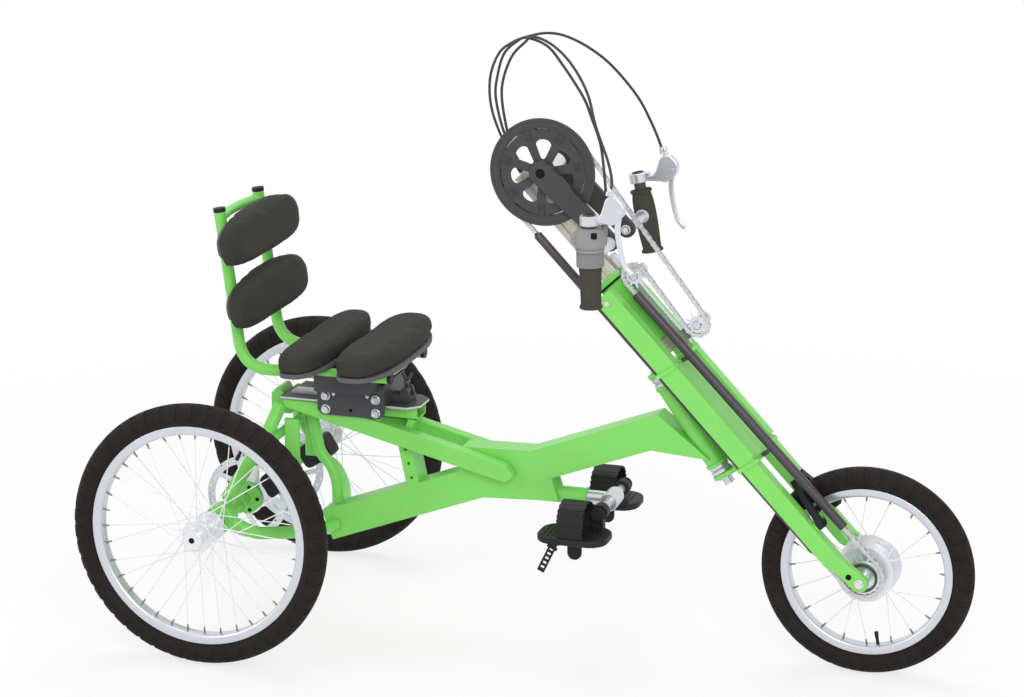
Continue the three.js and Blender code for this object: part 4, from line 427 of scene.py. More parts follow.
def softened(node, width, look, segments=2, least=28, crisp=CRISP):
    """The CAD solid again, merged and with its sharp edges rounded, width in millimetres."""
    shape = bmesh.new()
    shape.from_mesh(nodes[node].data)
    bmesh.ops.remove_doubles(shape, verts=shape.verts, dist=0.00001)
    join_flat_faces(shape)
    soften(shape, width / 1000, segments, least)
    return piece(f"{node}_body", shape, body_of[node], look, Matrix.Identity(4), node, crisp)


def bolt(radius, height, socket=0.5):
    """A socket-head bolt on Y: a head with a chamfer and a sunk socket."""
    return lathe([(0, 0), (radius, 0), (radius, height * 0.7), (radius * 0.86, height),
                  (radius * socket, height), (radius * socket, height * 0.35), (0, height * 0.35)], 24)


def hexagon(radius, low, high):
    return soften(slab(circle(0, 0, radius, 6), low, high), 0.5)


# %% [markdown]
# ## Wheels
# A wheel is three turned things, the tyre, the rim and the hub, tied by spokes that cross. The tyre
# starts as a spun section. Its rings of faces are then twisted a little and every third column is
# sunk, which cuts the slanting grooves that run over the shoulders of the tread.

# %% Tyre
TYRE_SHARES = [(0.0, 0.5), (0.03, 0.62), (0.16, 0.84), (0.33, 0.97), (0.5, 1.0), (0.66, 0.96), (0.8, 0.83),
               (0.91, 0.58), (0.975, 0.28), (1.0, 0.0)]
TWIST = radians(3.2)
GROOVE_WALL, GROOVE_DEPTH = 0.9, 1.5


def tyre(outside, bead, width, steps):
    """A turned tyre, whose every third column of tread faces is sunk."""
    def lean_at(radius, y):
        return TWIST * abs(y) / half * (radius - bead) / high

    high, half = outside - bead, width / 2
    side = [(bead + high * rise, half * share) for rise, share in TYRE_SHARES]
    section = [(r, -y) for r, y in side[:-1]] + side[::-1]
    shape = lathe([*section, section[0]], steps)
    for vert in shape.verts:
        radius = hypot(vert.co.x, vert.co.z)
        vert.co = turn(lean_at(radius, vert.co.y)) @ vert.co
    column = 2 * pi / steps
    sunk = []
    for face in shape.faces:
        middle = face.calc_center_median()
        radius = hypot(middle.x, middle.z)
        if not 0.4 < (radius - bead) / high < 0.985 or abs(middle.y) < half * 0.1:
            continue
        index = round((atan2(-middle.z, middle.x) - lean_at(radius, middle.y)) / column - 0.5)
        if (index + (1 if middle.y > 0 else 0)) % 3 == 0:
            sunk.append(face)
    bmesh.ops.recalc_face_normals(shape, faces=shape.faces)
    bmesh.ops.inset_region(shape, faces=sunk, thickness=GROOVE_WALL, depth=-GROOVE_DEPTH,
                           use_even_offset=True)
    return shape


# %% Rim, spokes and valve
def rim(outside, depth, width):
    half, inner = width / 2, outside - depth
    side = [(inner, 0.0), (inner, half - 4.5), (inner + 1.2, half - 2), (inner + 3.5, half - 0.7),
            (inner + 7, half), (outside - 1, half), (outside, half - 0.6), (outside, half - 2),
            (outside - 5, half - 3.5), (outside - 8.6, half - 6), (outside - 9, 0)]
    section = side + [(r, -y) for r, y in side[1:-1]][::-1]
    return lathe([*section, section[0]], 120)


def spoke_ends(wheel):
    """The two ends of every spoke, at the hub and at the rim."""
    count, reach, flange, lean, flanges = wheel
    for i in range(count):
        rim_angle = 2 * pi * (i + 0.1) / count
        way = 1 if i % 4 < 2 else -1
        hub_angle = rim_angle + way * radians(lean)
        root = Vector((flange * cos(hub_angle), flanges[i % 2] + way * 1.2, flange * sin(hub_angle)))
        yield root, Vector((reach * cos(rim_angle), way * 1.1, reach * sin(rim_angle)))


def pointed(at, along, track="Z", up="Y"):
    """Places a shape at a point, with one of its axes along a direction."""
    return Matrix.Translation(at) @ along.to_track_quat(track, up).to_matrix().to_4x4()


def rod(shape, start, end, low_radius, high_radius, sides):
    along = end - start
    bmesh.ops.create_cone(shape, cap_ends=True, segments=sides, radius1=low_radius, radius2=high_radius,
                          depth=along.length, matrix=pointed((start + end) / 2, along))


def lace(name, wheel, body, place):
    """Spokes with their heads in the hub and their nipples in the rim."""
    elbow = Vector((0, 1.6, 0))
    wires, nipples = bmesh.new(), bmesh.new()
    for root, tip in spoke_ends(wheel):
        inward = (root - tip).normalized()
        rod(wires, root, tip, 0.95, 0.95, 6)
        rod(nipples, tip + inward * 12, tip - inward * 2, 1.5, 2.2, 8)
        rod(wires, root - elbow, root + elbow, 2.2, 1.8, 8)
    piece(f"spokes_{name}", wires, body, spoke_steel_painted_highlight, place, weighted=False)
    piece(f"nipples_{name}", nipples, body, nipple_painted_shade, place, weighted=False)


def valve(radius):
    stem = upright(disc(3.1, -22, 2, 12, bevel=1))
    cap = upright(disc(3.8, -24, -13, 12, bevel=1))
    return moved(together(stem, cap), turn(pi) @ shift(0, 0, radius))


# %% Sizes of the rear wheels
REAR_TRACK = 320
REAR_TYRE = (207.6, 47, 144)                        # radius of the bead, width, columns of tread
REAR_RIM = (207.4, 16.5, 28)                        # outside radius, depth, width
REAR_SPOKES = (36, 192.4, 27, 62, (13.5, -42.5))    # count, reach, flange radius, lean, flange places
VALVE_TURN = -2.67
DISC_Y = 95
HUB_SECTION = [(12.3, -72), (16, -72), (17, -71), (17, -46), (19, -45), (28.2, -45), (29, -44.2),
               (29, -40.8), (28.2, -40), (19, -40), (17, -38.5), (15, -30), (15, 2), (17, 9.5), (19, 11),
               (28.2, 11), (29, 11.8), (29, 15.2), (28.2, 16), (19, 16), (17, 17), (17, 26), (16, 27),
               (0, 27), (0, -40), (12.3, -40), (12.3, -72)]


# %% Brake disc and rear axle
def brake_disc():
    arms, inner, hub = 5, 66, 27
    windows = []
    for i in range(arms):
        centre = 2 * pi * (i + 0.5) / arms
        outer, near = pi / arms - 0.075, pi / arms - 0.19
        windows.append(arc(0, 0, inner, centre - outer, centre + outer, 12)
                       + arc(0, 0, hub + 6, centre + near - 0.35, centre - near - 0.35, 4))
    holes, rows = 30, (69.5, 73, 76.5)
    slots = [circle(*polar(rows[i % 3], 2 * pi * i / holes), 1.9, 8) for i in range(holes)]
    bore = circle(0, 0, 12.5, 24)
    return slab(circle(0, 0, 80, 90), -1, 1, [*windows, *slots, bore])


def rear_axle():
    profile = [(0, 86), (11, 86), (12, 87), (12, 96.3), (29.5, 96.3), (31, 97.5), (31, 101), (29.5, 102.3),
               (22, 103), (17, 106), (12, 108), (12, 129), (16.2, 130), (17, 131), (17, 143), (16.2, 144),
               (12, 145), (12, 279), (11, 279.7), (0, 279.7)]
    ring = [moved(bolt(3.4, 3.5), turn(2 * pi * i / 5) @ shift(23.5, 102.3, 0)) for i in range(5)]
    keys = [moved(block((-4, 4), (106, 128), (11, 15.5), 0.8), turn(k * pi)) for k in range(2)]
    return together(lathe(profile, 48), *keys), together(*ring)


# %% Both rear wheels
for side, way in SIDES.items():
    hub_at = BASE @ way @ shift(0, REAR_TRACK, REAR_RADIUS)
    axle_at = BASE @ way @ shift(0, 0, REAR_RADIUS)
    body = f"rear_wheel_{side}"
    wheel_node = f"wheel_rear_{side}"
    piece(f"tread_rear_{side}", tyre(REAR_RADIUS, *REAR_TYRE), body, tread_rubber, hub_at,
          f"tyre_rear_{side}", crisp=40, weighted=False)
    piece(f"rim_rear_{side}", rim(*REAR_RIM), body, satin_aluminium, hub_at, wheel_node)
    lace(f"rear_{side}", REAR_SPOKES, body, hub_at)
    cap = together(disc(14, 27, 31, 32), disc(19, 31, 38, 40, bevel=1.5))
    piece(f"hub_screw_{side}", disc(5.4, 37.6, 38.8, 24, bevel=0.4), body, shadow_black, hub_at)
    piece(f"hub_rear_{side}", together(lathe(HUB_SECTION, 48), cap), body, hub_alloy, hub_at, wheel_node)
    piece(f"valve_rear_{side}", valve(191), body, black_nylon, hub_at @ turn(VALVE_TURN))
    shaft, bolts = rear_axle()
    piece(f"shaft_rear_{side}", shaft, body, powder_green, axle_at, f"axle_rear_{side}")
    piece(f"disc_bolts_{side}", bolts, body, shadow_black, axle_at)
    piece(f"disc_{side}", moved(brake_disc(), shift(0, DISC_Y, 0)), body, polished_steel, axle_at,
          f"brake_disc_{side}")

# %% [markdown]
# The front wheel is smaller and has a drum in its hub. It turns in the fork, and stands upright
# while the fork leans, so it is placed by the plain matrix at the front axle.

# %% The front wheel
FRONT_TYRE, FRONT_RIM = (157.2, 44, 114), (157, 15.5, 28)
FRONT_SPOKES = (20, 143, 49, 16, (32.5, -23.5))
DRUM_SECTION = [(6.4, -25), (51, -25), (52, -24.4), (52, -22.6), (51, -22), (47, -22), (45, -20),
                (45, 28), (47, 30.5), (56, 30.5), (57, 31.2), (57, 33.4), (56, 34), (26, 34), (24, 35),
                (22, 36), (20, 37), (6.4, 37), (6.4, -25)]
front_at = BASE @ shift(WHEELBASE, 0, FRONT_RADIUS)
piece("tread_front", tyre(FRONT_RADIUS, *FRONT_TYRE), "front_wheel", tread_rubber, front_at, "tyre_front",
      crisp=40, weighted=False)
piece("rim_front", rim(*FRONT_RIM), "front_wheel", satin_aluminium, front_at, "wheel_front")
lace("front", FRONT_SPOKES, "front_wheel", front_at)
piece("drum_front", lathe(DRUM_SECTION, 64), "front_wheel", hub_alloy, front_at, "wheel_front")
piece("valve_front", valve(141.5), "front_wheel", black_nylon, front_at @ turn(radians(-9.8)))

# %% [markdown]
# ## Frame
# The frame is welded from square and round tube and plate. The flat-sided pieces are the CAD solids
# with their corners rounded. The round tubes are drawn again along their routes, because a bent
# tube has a smooth bow where the CAD solid has a mitre.

# %% Spine, seat rail and calipers
softened("spine", 3.2, powder_green, 3)
rail = softened("seat_rail", 0.7, anodised_dark)
rail.data.materials.append(cut_edge["material"])
for face in rail.data.polygons:
    if abs(face.normal.z) < 0.3:
        face.material_index = 1
for side in SIDES:
    softened(f"caliper_{side}", 3.0, black_nylon, 3)

# %% The stays: the upper ones with the steep legs, the lower ones with the bearing housings
STAY_SLOPE = radians(13.9)
STAY_HALF = 17 / cos(STAY_SLOPE)
STAY_INNER, STAY_WIDTH = 25.3, 24.7
STAY_BACK, STAY_FRONT, STAY_TIP, STAY_TOP = 57, 495, 512, 452
RAIL_UNDER = 430.7


def stay_middle(x):
    return STAY_TOP - STAY_HALF - (x - STAY_BACK) * tan(STAY_SLOPE)


def upper_stay():
    flat_end = STAY_BACK + (STAY_TOP - RAIL_UNDER) / tan(STAY_SLOPE)
    back, front = stay_middle(STAY_BACK), stay_middle(STAY_FRONT)
    outline = [(STAY_BACK, back - STAY_HALF), (STAY_FRONT, front - STAY_HALF),
               (STAY_TIP, stay_middle(STAY_TIP)), (STAY_FRONT, front + STAY_HALF),
               (flat_end, RAIL_UNDER), (STAY_BACK, RAIL_UNDER)]
    beam = slab(outline, STAY_INNER, STAY_INNER + STAY_WIDTH, bevel=3, segments=3)
    leg = pipe(bent([(50, 45, 418), (35, 80, 366), (9, 212, 282.5)], 34), 12.5, 28)
    post = block((234, 250), (STAY_INNER + 3, STAY_INNER + STAY_WIDTH - 3), (392, RAIL_UNDER), 1.5)
    tab = slab([(62, 292), (90, 292), (90, 396), (62, 396)], 47.3, 56.3, bevel=1.2)
    return together(beam, leg, post, tab)


def lower_stay():
    tube = pipe(bent([(16, 218, 242), (60, 214, 220), (100, 155, 206), (131, 80, 189), (150, 26, 186)], 40),
                12, 28)
    housing = disc(27, 202, 234, 48, bore=12.6, bevel=2.5)
    seal = disc(20, 200.8, 235.2, 40, bore=12.6, bevel=0.6)
    return tube, moved(together(housing, seal), shift(0, 0, REAR_RADIUS))


for side, way in SIDES.items():
    piece(f"stay_upper_{side}", upper_stay(), "frame", powder_green, BASE @ way, f"upper_stay_{side}")
piece("cross_tube", pipe([(50, -76, 364), (50, 76, 364)], 9, 24), "frame", powder_green)
for side, way in SIDES.items():
    for part, shape in zip(("stay_lower", "bearing_housing"), lower_stay()):
        piece(f"{part}_{side}", shape, "frame", powder_green, BASE @ way, f"lower_stay_{side}")

# %% The trough under the seat rail, its post, its bracket and the bent tube
TROUGH_FLOOR, TROUGH_X, TROUGH_HALF, TROUGH_WALL = 406.7, (60, 316), 25, 3
span = (-TROUGH_HALF, TROUGH_HALF)
trough = together(
    block(TROUGH_X, span, (TROUGH_FLOOR, TROUGH_FLOOR + TROUGH_WALL), 0.8),
    block(TROUGH_X, (-TROUGH_HALF, TROUGH_WALL - TROUGH_HALF), (TROUGH_FLOOR, RAIL_UNDER), 0.8),
    block(TROUGH_X, (TROUGH_HALF - TROUGH_WALL, TROUGH_HALF), (TROUGH_FLOOR, RAIL_UNDER), 0.8),
    slab([(284, 373), (300, 373), (314, 409), (298, 409)], *span, bevel=2),
    slab([(24, 396), (63, 396), (63, 409), (49.7, 412), (49.7, 435), (43.7, 447), (36, 447), (24, 435)],
         *span, bevel=2),
)
piece("rail_trough", trough, "frame", powder_green, stands_for="rail_support")
bow = bent([(94, 0, 409), (111, 0, 317), (136, 0, 292), (146, 0, 258), (146, 0, 222)], 30)
piece("bent_tube", pipe(bow, 11, 28), "frame", powder_green, stands_for="rail_support")

# %% Head tube with its bearing cups, and the sleeve that the footrest slides in
HEAD_LEAN = radians(35)
HEAD = BASE @ shift(887, 0, 369) @ turn(-HEAD_LEAN)
head_shell = disc(19.5, 0, 176, 56, bore=15.6, bevel=0.8)
head_rings = [disc(22, low, high, 56, bore=19, bevel=1) for low, high in [(0, 7), (169, 176)]]
piece("head_shell", upright(together(head_shell, *head_rings)), "frame", powder_green, HEAD, "head_tube")
sleeve = moved(lengthwise(disc(16, 470, 642, 48, bore=13.3, bevel=0.8)), shift(0, 0, 282))
gusset = slab([(436, 267), (592, 275), (577, 321)], -25, 25, bevel=2.5)
piece("footrest_sleeve", together(sleeve, gusset), "frame", powder_green,
      stands_for="footrest_receiver")


# %% [markdown]
# ## Seat
# The seat is a welded frame of two bent tubes with a bowed bar at the top. A clamp of dark plate
# grips the rail, held by four large bolts and two small ones on each side. The pads are foam on a
# thin board. Each pad is blown up a little as cloth, so that its crown and its drawn-in sides come
# from the tension in the cover and not from a guess.

# %% The bent tubes of the seat, with their end caps
SEAT_TILT, SEAT_SLOPE = radians(7.5), radians(1.07)
SEAT_CORNER = (-3, 499.5)
SEAT_HALF, SEAT_FRONT, BACK_TOP, TOP_BAR_Z = 93, 287, 797, 782


def back_x(z):
    return SEAT_CORNER[0] - (z - SEAT_CORNER[1]) * tan(SEAT_TILT)


def seat_z(x):
    return SEAT_CORNER[1] + (x - SEAT_CORNER[0]) * tan(SEAT_SLOPE)


seat_tubes, seat_caps = [], []
for y in (SEAT_HALF, -SEAT_HALF):
    route = [(back_x(BACK_TOP), y, BACK_TOP), (SEAT_CORNER[0], y, SEAT_CORNER[1]),
             (SEAT_FRONT, y, seat_z(SEAT_FRONT))]
    seat_tubes.append(pipe(bent(route, 54, 14), 11, 32))
    seat_caps.append(pipe([(back_x(z), y, z) for z in (BACK_TOP - 2, BACK_TOP + 6)], 11.6, 32))
    seat_caps.append(pipe([(x, y, seat_z(x)) for x in (SEAT_FRONT - 2, SEAT_FRONT + 5.4)], 11.6, 32))
shares = [i / 6 - 1 for i in range(13)]
top_bar = [(back_x(TOP_BAR_Z) - 12 * (1 - t * t), SEAT_HALF * t, TOP_BAR_Z) for t in shares]
front_bar = [(280, y, seat_z(280)) for y in (-90, 90)]
piece("seat_tubes", together(*seat_tubes, pipe(top_bar, 9, 28), pipe(front_bar, 6, 20)), "seat",
      powder_green, stands_for="seat_frame")
piece("seat_tube_caps", soften(together(*seat_caps), 1.2, 2), "seat", black_nylon)

# %% Clamp, bolts and latch
softened("seat_clamp", 1.1, anodised_dark)
softened("seat_latch", 1.0, anodised_dark)
CLAMP_FACE = 57
clamp_bolts = []
for way in SIDES.values():
    face = way @ shift(0, CLAMP_FACE, 0)
    for x, z in [(147, 449), (147, 423), (246, 449), (246, 423)]:
        head = together(disc(9, 0, 1.6, 32, bevel=0.5), moved(bolt(7.4, 7), shift(0, 1.6, 0)))
        clamp_bolts.append(moved(head, face @ shift(x, 0, z)))
    clamp_bolts += [moved(bolt(3.8, 2.6), face @ shift(x, 0, 454)) for x in (163, 230)]
piece("clamp_bolts", together(*clamp_bolts), "seat", polished_steel, crisp=50)

# %% Pad outline and foam
PAD_POINTS = 72
BOARD_THICK = 9
END_POWER, TOP_POWER, FOOT_POWER = 0.72, 0.95, 0.5      # below 1, the oval is nearer to a rectangle


def power(value, exponent):
    return copysign(abs(value) ** exponent, value)


def pad_outline(length, height):
    outline = []
    for i in range(PAD_POINTS):
        angle = 2 * pi * (i + 0.5) / PAD_POINTS
        y = power(sin(angle), TOP_POWER if sin(angle) > 0 else FOOT_POWER)
        outline.append((power(cos(angle), END_POWER) * length / 2, y * height / 2))
    return outline


def foam(length, height, thick):
    """The pad before its cover is tightened: a slab with two soft rims, face up on Z."""
    shape = flat(pad_outline(length - 10, height - 10), 0, thick - 7)
    join_flat_faces(shape)
    rims = [e for e in shape.edges if all(v.co.z > thick - 8 for v in e.verts)]
    return round_edges(shape, rims, 13, 5, 0.55)


PAD_VOXEL, PRESSURE, STIFFNESS, CLOTH_FRAMES = 0.0052, 4.0, 20, 20


def settled(obj):
    """The object takes the mesh that its modifiers make, and drops them."""
    obj.data = bpy.data.meshes.new_from_object(obj.evaluated_get(bpy.context.evaluated_depsgraph_get()))
    obj.modifiers.clear()


def tightened(obj, most):
    """Cloth under pressure, stopped before any point has moved too far."""
    look = obj.data.materials[0]
    remesh = obj.modifiers.new("remesh", "REMESH")
    remesh.mode, remesh.voxel_size = "VOXEL", PAD_VOXEL
    settled(obj)
    rest = [v.co.copy() for v in obj.data.vertices]
    cloth = obj.modifiers.new("cover", "CLOTH").settings
    cloth.use_pressure, cloth.uniform_pressure_force = True, PRESSURE
    cloth.effector_weights.gravity = 0
    cloth.tension_stiffness = cloth.compression_stiffness = STIFFNESS
    for time in range(1, CLOTH_FRAMES + 1):
        bpy.context.scene.frame_set(time)
    settled(obj)
    bpy.context.scene.frame_set(1)
    for vert, before in zip(obj.data.vertices, rest):
        step = vert.co - before
        if step.length > most:
            vert.co = before + step * (most / step.length)
    obj.data.materials.clear()
    obj.data.materials.append(look)
    obj.data.shade_smooth()


# %% The four pads on their boards
OUT_OF_BACK = Vector((cos(SEAT_TILT), 0, sin(SEAT_TILT)))
OUT_OF_SEAT = Vector((-sin(SEAT_SLOPE), 0, cos(SEAT_SLOPE)))
PAD_OFF_FRAME, MOST_BLOWN = 11.3, 0.006
pads = {    # length, height, thickness, margin of the board, place in X and Z, and the two directions
    "back_pad_upper": (350, 118, 35, 44, back_x(743), 743, OUT_OF_BACK, 1),
    "back_pad_lower": (350, 118, 35, 44, back_x(626), 626, OUT_OF_BACK, 1),
    "seat_pad_rear": (384, 104, 39, 14, 132, seat_z(132), OUT_OF_SEAT, -1),
    "seat_pad_front": (384, 122, 39, 14, 250, seat_z(250), OUT_OF_SEAT, -1),
}
for name, (length, height, thick, margin, x, z, out, way) in pads.items():
    across = Vector((0, way, 0))
    axes = Matrix([across, out.cross(across), out]).transposed().to_4x4()
    place = BASE @ Matrix.Translation(Vector((x, 0, z)) + out * PAD_OFF_FRAME) @ axes
    board = flat(pad_outline(length - margin, height - margin), 0, BOARD_THICK, bevel=1.2)
    piece(f"{name}_board", board, "seat", pad_board, place, crisp=50)
    pad = piece(f"{name}_cover", foam(length, height, thick), "seat", pad_fabric,
                place @ shift(0, 0, BOARD_THICK + 0.4), name, weighted=False)
    tightened(pad, MOST_BLOWN)
    finer = pad.modifiers.new("finer", "SUBSURF")
    finer.levels = finer.render_levels = 1
    print(name, "cover has", len(pad.data.polygons), "faces")

# %% [markdown]
# ## Footrest
# A bare tube slides in the sleeve under the spine and ends in a tee. On its cross shaft hang the
# two footplates, each a moulded sole with a ribbed strap over the toes and a ladder strap behind.

# %% Sliding tube, tee and cross shaft
TEE_X, TEE_Z = 687, 282
long_tube = moved(lengthwise(disc(13, 500, TEE_X, 40, bevel=0.8)), shift(0, 0, TEE_Z))
tee = moved(together(disc(17, -24, 24, 40, bevel=1.5), disc(8, -89.5, 89.5, 28),
                     hexagon(6, 88, 92), hexagon(6, -92, -88)), shift(TEE_X, 0, TEE_Z))
piece("footrest_slider", together(long_tube, tee), "footrest", satin_aluminium, stands_for="footrest_tube")

# %% Sole
PLATE_Y, SOLE_DROP = 110, 45


def footplate():
    sole = moved(flat(rounded_box(132, 92, 34, 9), 0, 12, bevel=2.5, segments=3),
                 shift(-39, PLATE_Y, -SOLE_DROP))
    rib_z = (11.5 - SOLE_DROP, 13.2 - SOLE_DROP)
    ribs = [block((x - 1.5, x + 1.5), (PLATE_Y - 30, PLATE_Y + 30), rib_z, 0.5) for x in range(-92, 8, 9)]
    inner = PLATE_Y - 46
    barrel = together(disc(15, inner, inner + 20, 36, bore=8.4, bevel=1.5),
                      disc(13, PLATE_Y - 17, PLATE_Y - 13, 36, bevel=1.5))
    neck = block((-14, 7), (inner + 1, inner + 19), (-SOLE_DROP + 4, -9), 2, 3)
    tongue = slab([*arc(-39, -SOLE_DROP - 27, 13.5, pi, 2 * pi, 12), (-25.5, -SOLE_DROP + 4),
                   (-52.5, -SOLE_DROP + 4)], PLATE_Y - 2.5, PLATE_Y + 2.5, bevel=1)
    return together(sole, *ribs, barrel, neck, tongue)


# %% Toe strap and ladder strap
def toe_strap():
    low, half = -SOLE_DROP + 10, 39
    route = smooth_route([(0, -half, low), (0, -half - 0.5, low + 20), (0, -half + 2, low + 36),
                          (0, -half * 0.68, low + 52), (0, 0, low + 61), (0, half * 0.68, low + 52),
                          (0, half - 2, low + 36), (0, half + 0.5, low + 20), (0, half, low)], 4)
    shape = bmesh.new()
    for i, (a, b) in enumerate(zip(route, route[1:])):
        size = Matrix.Diagonal((50 - 2.5 * (i % 2), 3.2 + 1.0 * (i % 2), (b - a).length * 1.04, 1))
        place = pointed((a + b) / 2, b - a, "Z", "X")
        bmesh.ops.create_cube(shape, size=1, matrix=place @ turn(pi / 2, "Z") @ size)
    moved(shape, shift(-38, PLATE_Y, 0))
    return soften(shape, 0.4, 1)


def ladder_strap():
    length, count = 58, 5
    holes = [[(x, z - length * (i + 1) / (count + 1)) for x, z in rounded_box(7, 5, 1.5, 2)]
             for i in range(count)]
    strip = slab([(-7, -length), (7, -length), (7, 10), (-7, 10)], 42.5, 45.5, holes, bevel=0.4, segments=1)
    buckle = together(block((-10, 10), (40, 47.5), (4, 9), 1), block((-10, 10), (40, 47.5), (-8, -4), 1))
    return moved(together(strip, buckle), shift(-66, PLATE_Y, -SOLE_DROP) @ turn(radians(25)))


# %% Both footplates
for side, way in SIDES.items():
    place = BASE @ way @ shift(TEE_X, 0, TEE_Z)
    body, node = f"plate_{side}", f"footplate_{side}"
    piece(f"sole_{side}", footplate(), body, black_nylon, place, node)
    piece(f"toe_strap_{side}", toe_strap(), body, black_nylon, place, node)
    piece(f"ladder_strap_{side}", ladder_strap(), body, black_nylon, place, node)


# %% [markdown]
# ## Fork and mast
# Everything here is drawn square to the legs of the fork and leans with it. The steerer turns in
# the head tube, the two legs are box sections, and the ribbed mast is clamped between them.

# %% Legs, crown, mast and its clamp
for side in SIDES:
    softened(f"fork_leg_{side}", 2.2, powder_green, 3, least=50)
softened("fork_crown", 1.2, powder_green)
softened("mast", 0.9, mast_anodised)
softened("mast_clamp", 1.6, powder_green)
softened("idler_bar", 1.0, satin_aluminium)

# %% Steerer, axle, nuts and the band round the clamp
steerer = lathe([(0, -40), (9.4, -40), (10, -39), (10, -28), (14, -28), (14, -15.7), (19, -15.7),
                 (20, -14.7), (20, -9), (17, -7), (20, -5), (20, -0.3), (15.2, -0.3), (15.2, 176.3),
                 (20, 176.3), (20, 182), (17, 184), (20, 187), (20, 194), (19, 195.7), (14, 195.7),
                 (14, 207), (13, 208), (0, 208)], 48)
piece("steerer_stem", upright(steerer), "fork", satin_aluminium, HEAD, "steerer")
LEG_OUT, DRUM_FACE, SPROCKET_FACE = 79.5, 37, -42.1
axle = together(disc(6, -88.5, 88.5, 24), hexagon(7.5, 79.8, 86), hexagon(7.5, -86, -79.8),
                disc(9, 79.6, 80.6, 24), disc(9, -80.6, -79.6, 24),
                disc(10, DRUM_FACE + 0.3, 65.7, 24), disc(10, -65.7, SPROCKET_FACE - 0.3, 24))
piece("front_axle_bar", axle, "fork", polished_steel, FORK, "front_axle")
leg_screws = [moved(bolt(5.2, 1.6), way @ shift(-5.7, LEG_OUT, 21.4)) for way in SIDES.values()]
piece("leg_screws", together(*leg_screws), "fork", shadow_black, FORK)
clamp_screws = [moved(bolt(6.5, 4), way @ shift(-8, 27, t)) for way in SIDES.values() for t in (590, 655)]
clamp_screws += [moved(bolt(5, 3), way @ shift(-12, LEG_OUT, 672)) for way in SIDES.values()]
piece("clamp_screws", together(*clamp_screws), "fork", polished_steel, FORK)
band = slab(rounded_box(49, 58, 4, 3), 0, 4, [rounded_box(45.6, 54.6, 3, 3)])
moved(band, shift(-4.5, 0, 692) @ turn(pi / 2, "X"))
piece("clamp_band", band, "fork", shadow_black, FORK)
shell = together(disc(20.2, -34, 34, 48, bore=9, bevel=1.2), disc(17, -36.5, 36.5, 40, bore=9, bevel=1))
piece("bracket_shell", moved(shell, shift(BRACKET_N, 0, BRACKET_T)), "fork", polished_steel, FORK)

# %% [markdown]
# ## Chain
# A roller chain has a joint every 12.7 mm, half an inch. Its line runs tangent from sprocket to
# sprocket: the large ring at the cranks, the sprung idler, the fixed idler and the sprocket at the
# hub. The joints are counted along that line, and each gets a roller and each gap two side plates.

# %% The pitch line of the chain
PITCH = 12.7
CHAIN_Y = -41
SPROCKETS = {  # teeth, place in the fork's own axes, and which way the chain passes round it
    "ring": (44, Vector((BRACKET_N, BRACKET_T)), -1),
    "low": (10, Vector((78, 538)), -1),
    "high": (10, Vector((48, 678)), 1),
    "hub": (18, Vector((0, 0)), -1),
}


def pitch_radius(teeth):
    return PITCH / 2 / sin(pi / teeth)


def tangent(start, end):
    """The straight run between two sprockets: its two ends and its heading."""
    (teeth_a, at_a, way_a), (teeth_b, at_b, way_b) = SPROCKETS[start], SPROCKETS[end]
    across = at_b - at_a
    offset = way_a * pitch_radius(teeth_a) - way_b * pitch_radius(teeth_b)
    heading = atan2(across.y, across.x) + asin(offset / across.length)
    normal = Vector((sin(heading), -cos(heading)))
    return (at_a + normal * way_a * pitch_radius(teeth_a), at_b + normal * way_b * pitch_radius(teeth_b),
            heading)


FRONT_TUBE_TOP, REAR_TUBE_TOP, TUBE_FOOT = 652, 848, 92
ORDER = ["ring", "low", "high", "hub"]
RUNS = {name: tangent(name, ORDER[(i + 1) % 4]) for i, name in enumerate(ORDER)}     # start, end, heading


def run_point(run, t):
    start, end, _ = RUNS[run]
    return start.lerp(end, (t - start.y) / (end.y - start.y))


# %% The joints of the chain, one every pitch
def chain_line():
    """Points every pitch along the whole loop, from where it leaves the rear guide tube."""
    line = [run_point("hub", REAR_TUBE_TOP)]
    for i, name in enumerate(ORDER):
        teeth, centre, way = SPROCKETS[name]
        landing = RUNS[ORDER[i - 1]][2] - way * pi / 2
        swing = (RUNS[name][2] - way * pi / 2 - landing) * way % (2 * pi)
        round_it = arc(*centre, pitch_radius(teeth), landing, landing + way * swing, int(swing * 60))
        line += [Vector(place) for place in round_it]
    line.append(line[0])
    joints, spent, due = [line[0]], 0.0, PITCH
    for a, b in zip(line, line[1:]):
        step = (b - a).length
        while spent + step >= due:
            joints.append(a.lerp(b, (due - spent) / step))
            due += PITCH
        spent += step
    if (joints[-1] - joints[0]).length < PITCH / 2:
        joints.pop()        # the loop closes with one link that is a little longer
    return joints


joints = chain_line()

# %% Links where the chain shows, and none where a guide tube hides it
PLATE_END, PLATE_WAIST, PLATE_THICK = 4.15, 3.1, 0.9
OUTER_PLATE, INNER_PLATE = 3.1, 2.0
LONGEST_LINK = 1.6      # in pitches


def hidden(point):
    for run, top in (("high", FRONT_TUBE_TOP), ("hub", REAR_TUBE_TOP)):
        near = abs(point.x - run_point(run, point.y).x) < 6
        if near and TUBE_FOOT + 8 < point.y < top - 8:
            return True
    return False


def side_plate(start, end, y):
    """A plate with two round ends and a waist, between two joints."""
    along = (end - start).normalized() * PLATE_END
    across = Vector((-along.y, along.x))
    outline = []
    for centre, way in ((start, -1), (end, 1)):
        outline += [centre + (along * cos(a) + across * sin(a)) * way
                    for a in map(radians, (-70, -25, 25, 70))]
        outline.append((start + end) / 2 + across * way * PLATE_WAIST / PLATE_END)
    return slab([tuple(p) for p in outline], y, y + PLATE_THICK)


